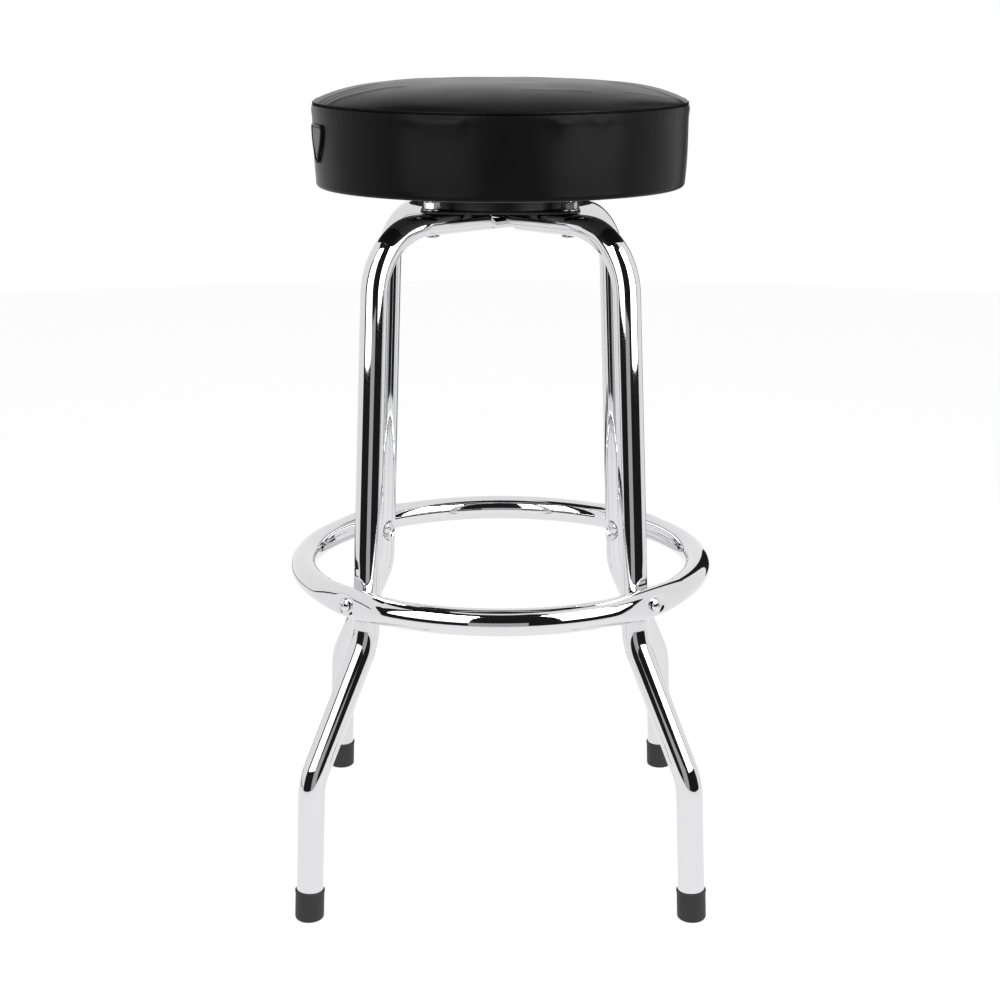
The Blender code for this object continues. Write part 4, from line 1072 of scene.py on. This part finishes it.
# Side band: one strip of the same vinyl, sewn to the top panel, drawn in towards the board and
# turned under it as a hem. Spare vinyl stands out in rolls below the seam.
BAND_ROWS = 56
BAND_INNER_ROWS = 12
HEM_WIDTH = 0.0370
HEM_TURNS = (15, 30, 45, 60, 75, 90)
HEM_ROWS = 6
SWELL_BELOW_SEAM = 0.006
SWELL_ABOVE_HEM = 0.004
PUCKER_BELOW_SEAM = 0.002
# Rolls of the band below the seam: azimuths from the front, and how far they stand out
ROLLS = ((-31.0, -8.0, 0.0014), (12.0, 24.0, 0.0012), (24.5, 34.0, 0.0013))
ROLL_BELOW = 0.0070
ROLL_ABOVE_WIDTH = 0.0022
ROLL_BELOW_WIDTH = 0.0110
# How many degrees a roll takes to rise at its left end and to fall at its right end
ROLL_RISE = 12
ROLL_FALL = 5


def roll(turn, from_seam):
    """How far a roll of the band stands out, at a distance below the seam."""
    azimuth = math.degrees(math.remainder(turn + math.pi / 2, math.tau))
    out = 0
    for start, end, height in ROLLS:
        grown = ease((azimuth - start) / min(ROLL_RISE, (end - start) / 2))
        grown *= ease((end - azimuth) / ROLL_FALL)
        beyond = from_seam - ROLL_BELOW * (1 + grown) / 2
        width = ROLL_ABOVE_WIDTH if beyond < 0 else ROLL_BELOW_WIDTH
        out += height * grown * math.exp(-(beyond / width) ** 2)
    return out


rings = []
band_top = seam_z - WELT_RADIUS - GAP
for row in range(BAND_ROWS + 1):
    height = lerp(band_top, band_bottom, row / BAND_ROWS)
    from_seam = band_top - height
    held = ease(from_seam / SWELL_BELOW_SEAM) * ease((height - band_bottom) / SWELL_ABOVE_HEM)
    ring = []
    for turn in around:
        place = spot(turn, band_radius(height), height) + seam_rise(turn) * (1 - row / BAND_ROWS)
        drawn = pucker(turn, from_seam) * ease(from_seam / PUCKER_BELOW_SEAM)
        ring.append(place + outward(turn) * (swell(place) * held + roll(turn, from_seam) - drawn))
    rings.append(ring)
under = band_radius(band_bottom) - HEM_ROUND
for turn in HEM_TURNS:
    bent = math.radians(turn)
    height = band_bottom - HEM_ROUND * math.sin(bent)
    rings.append(circle(under + HEM_ROUND * math.cos(bent), height, SEAT_STEPS))
hem_end = SEAT_RADIUS - HEM_WIDTH
for i in range(1, HEM_ROWS + 1):
    rings.append(circle(lerp(under, hem_end, i / HEM_ROWS), hem_bottom, SEAT_STEPS))
rings += [circle(hem_end, hem_top, SEAT_STEPS), circle(under, hem_top, SEAT_STEPS)]
for row in range(BAND_INNER_ROWS + 1):
    height = lerp(band_bottom, band_top, row / BAND_INNER_ROWS)
    inner = band_radius(height) - COVER
    rings.append([spot(turn, inner, height) + seam_rise(turn) * row / BAND_INNER_ROWS for turn in around])
shape = bmesh.new()
wrap(shape, rings, loop=True)
band = piece("side_band", shape, vinyl, "black_vinyl", "seat", "seat_side_band")


# Welt and seam: a thin vinyl cord deep in the groove between top and band, and the black
# stitches that cross the groove.
WELT_STEPS = 360
WELT_SIDES = 12
WELT_THICKNESS = 0.0012
WELT_BELOW_SEAM = 0.0010
WELT_SUNK = 0.0030
STITCH_PITCH = 0.0028
STITCH_HEIGHT = 0.0026
STITCH_RADIUS = 0.0004


def cord_section(middle, across, up, radius):
    """A ring of points round a cord, in the plane of two directions."""
    turns = [math.tau * i / WELT_SIDES for i in range(WELT_SIDES)]
    return [middle + (across * math.cos(turn) + up * math.sin(turn)) * radius for turn in turns]


rings = []
for i in range(WELT_STEPS):
    turn = math.tau * i / WELT_STEPS
    middle = spot(turn, seam_radius - WELT_SUNK, seam_z - WELT_BELOW_SEAM) + seam_rise(turn)
    rings.append(cord_section(middle, outward(turn), Vector((0, 0, 1)), WELT_THICKNESS))
shape = bmesh.new()
wrap(shape, rings, loop=True)
piece("welt", shape, vinyl, "black_vinyl", "seat", "seam_welt")

thread, tree, shader = look("thread", (0.004, 0.004, 0.004), 0.6)
shader.inputs["Specular IOR Level"].default_value = 0.1
roughen(tree, shader, 3000, 0.5, 0.7, 0.00005)
shape = bmesh.new()
count = round(math.tau * seam_radius / STITCH_PITCH)
for i in range(count):
    turn = math.tau * i / count
    centre = spot(turn, seam_radius, seam_z) + seam_rise(turn)
    place = Matrix.Translation(centre) @ Matrix.Rotation(turn, 4, "Z")
    size = Matrix.Diagonal((STITCH_RADIUS, STITCH_RADIUS, STITCH_HEIGHT / 2, 1))
    bmesh.ops.create_icosphere(shape, subdivisions=1, radius=1, matrix=place @ size)
piece("seam_stitches", shape, thread, "black_vinyl", "seat")


# Pouch: a small pocket of grey vinyl, sewn on the left side of the band under a black binding
# that runs down both its edges, round the point and across the mouth.
POUCH_AZIMUTH = math.radians(-71.5)
POUCH_WIDTH = 0.0350
POUCH_HEIGHT = 0.0320
POUCH_BELOW_SEAM = 0.0165
POUCH_SHEET = 0.0010
POUCH_BINDING = 0.0013
BINDING_FLATNESS = 0.85
# Height share above the point and half-width share, from the mouth down
POUCH_SHARES = (
    (1.0, 0.90), (0.93, 1.0), (0.75, 0.97), (0.50, 0.78), (0.28, 0.52), (0.10, 0.26), (0.0, 0.08)
)
POUCH_COLUMNS = 24
POUCH_ROWS = 24
MOUTH_STEPS = 12

grey_vinyl = vinyl_look("grey_vinyl", (0.075, 0.075, 0.078), (0.10, 0.10, 0.105), 0.5)[0]

pouch_top = seam_z - POUCH_BELOW_SEAM


def on_band(across, height, lift):
    """A place on the side band: across is measured round it from the pouch's middle."""
    turn = -math.pi / 2 + POUCH_AZIMUTH + across / SEAT_RADIUS
    return spot(turn, band_radius(height) + lift, height)


edge = []
for i in range(POUCH_ROWS + 1):
    share = 1 - i / POUCH_ROWS
    half = POUCH_WIDTH / 2 * spline(POUCH_SHARES, share)
    edge.append((-half, pouch_top - POUCH_HEIGHT * (1 - share)))
edge += [(-across, height) for across, height in reversed(edge)]
mouth = edge[-1][0]
edge += [(mouth * (1 - 2 * i / MOUTH_STEPS), pouch_top) for i in range(1, MOUTH_STEPS)]
lift = GAP + POUCH_BINDING * BINDING_FLATNESS
rings = []
for i, (across, height) in enumerate(edge):
    middle = on_band(across, height, lift)
    along = on_band(*edge[(i + 1) % len(edge)], lift) - on_band(*edge[i - 1], lift)
    out = Vector((middle.x, middle.y, 0)).normalized()
    side = along.cross(out).normalized()
    rings.append(cord_section(middle, side, out * BINDING_FLATNESS, POUCH_BINDING))
shape = bmesh.new()
wrap(shape, rings, loop=True)
piece("pouch_edge", shape, vinyl, "black_vinyl", "seat", "pouch_binding")

shape = bmesh.new()
made = bmesh.ops.create_grid(shape, x_segments=POUCH_COLUMNS, y_segments=POUCH_ROWS, size=0.5)["verts"]
inset = POUCH_BINDING + GAP
for vert in made:
    share = vert.co.y + 0.5
    half = max(POUCH_WIDTH / 2 * spline(POUCH_SHARES, share) - 2 * inset, inset)
    height = lerp(pouch_top - POUCH_HEIGHT + 2 * inset, pouch_top - inset, share)
    vert.co = on_band(vert.co.x * 2 * half, height, GAP + POUCH_SHEET)
panel = piece("pouch_front", shape, grey_vinyl, "grey_vinyl", "seat", "pouch_panel")
thick = panel.modifiers.new("sheet", "SOLIDIFY")
thick.thickness = POUCH_SHEET
thick.offset = 0

size = {"cad": [list(corner) for corner in cad_box], "visual": [list(corner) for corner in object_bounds()]}
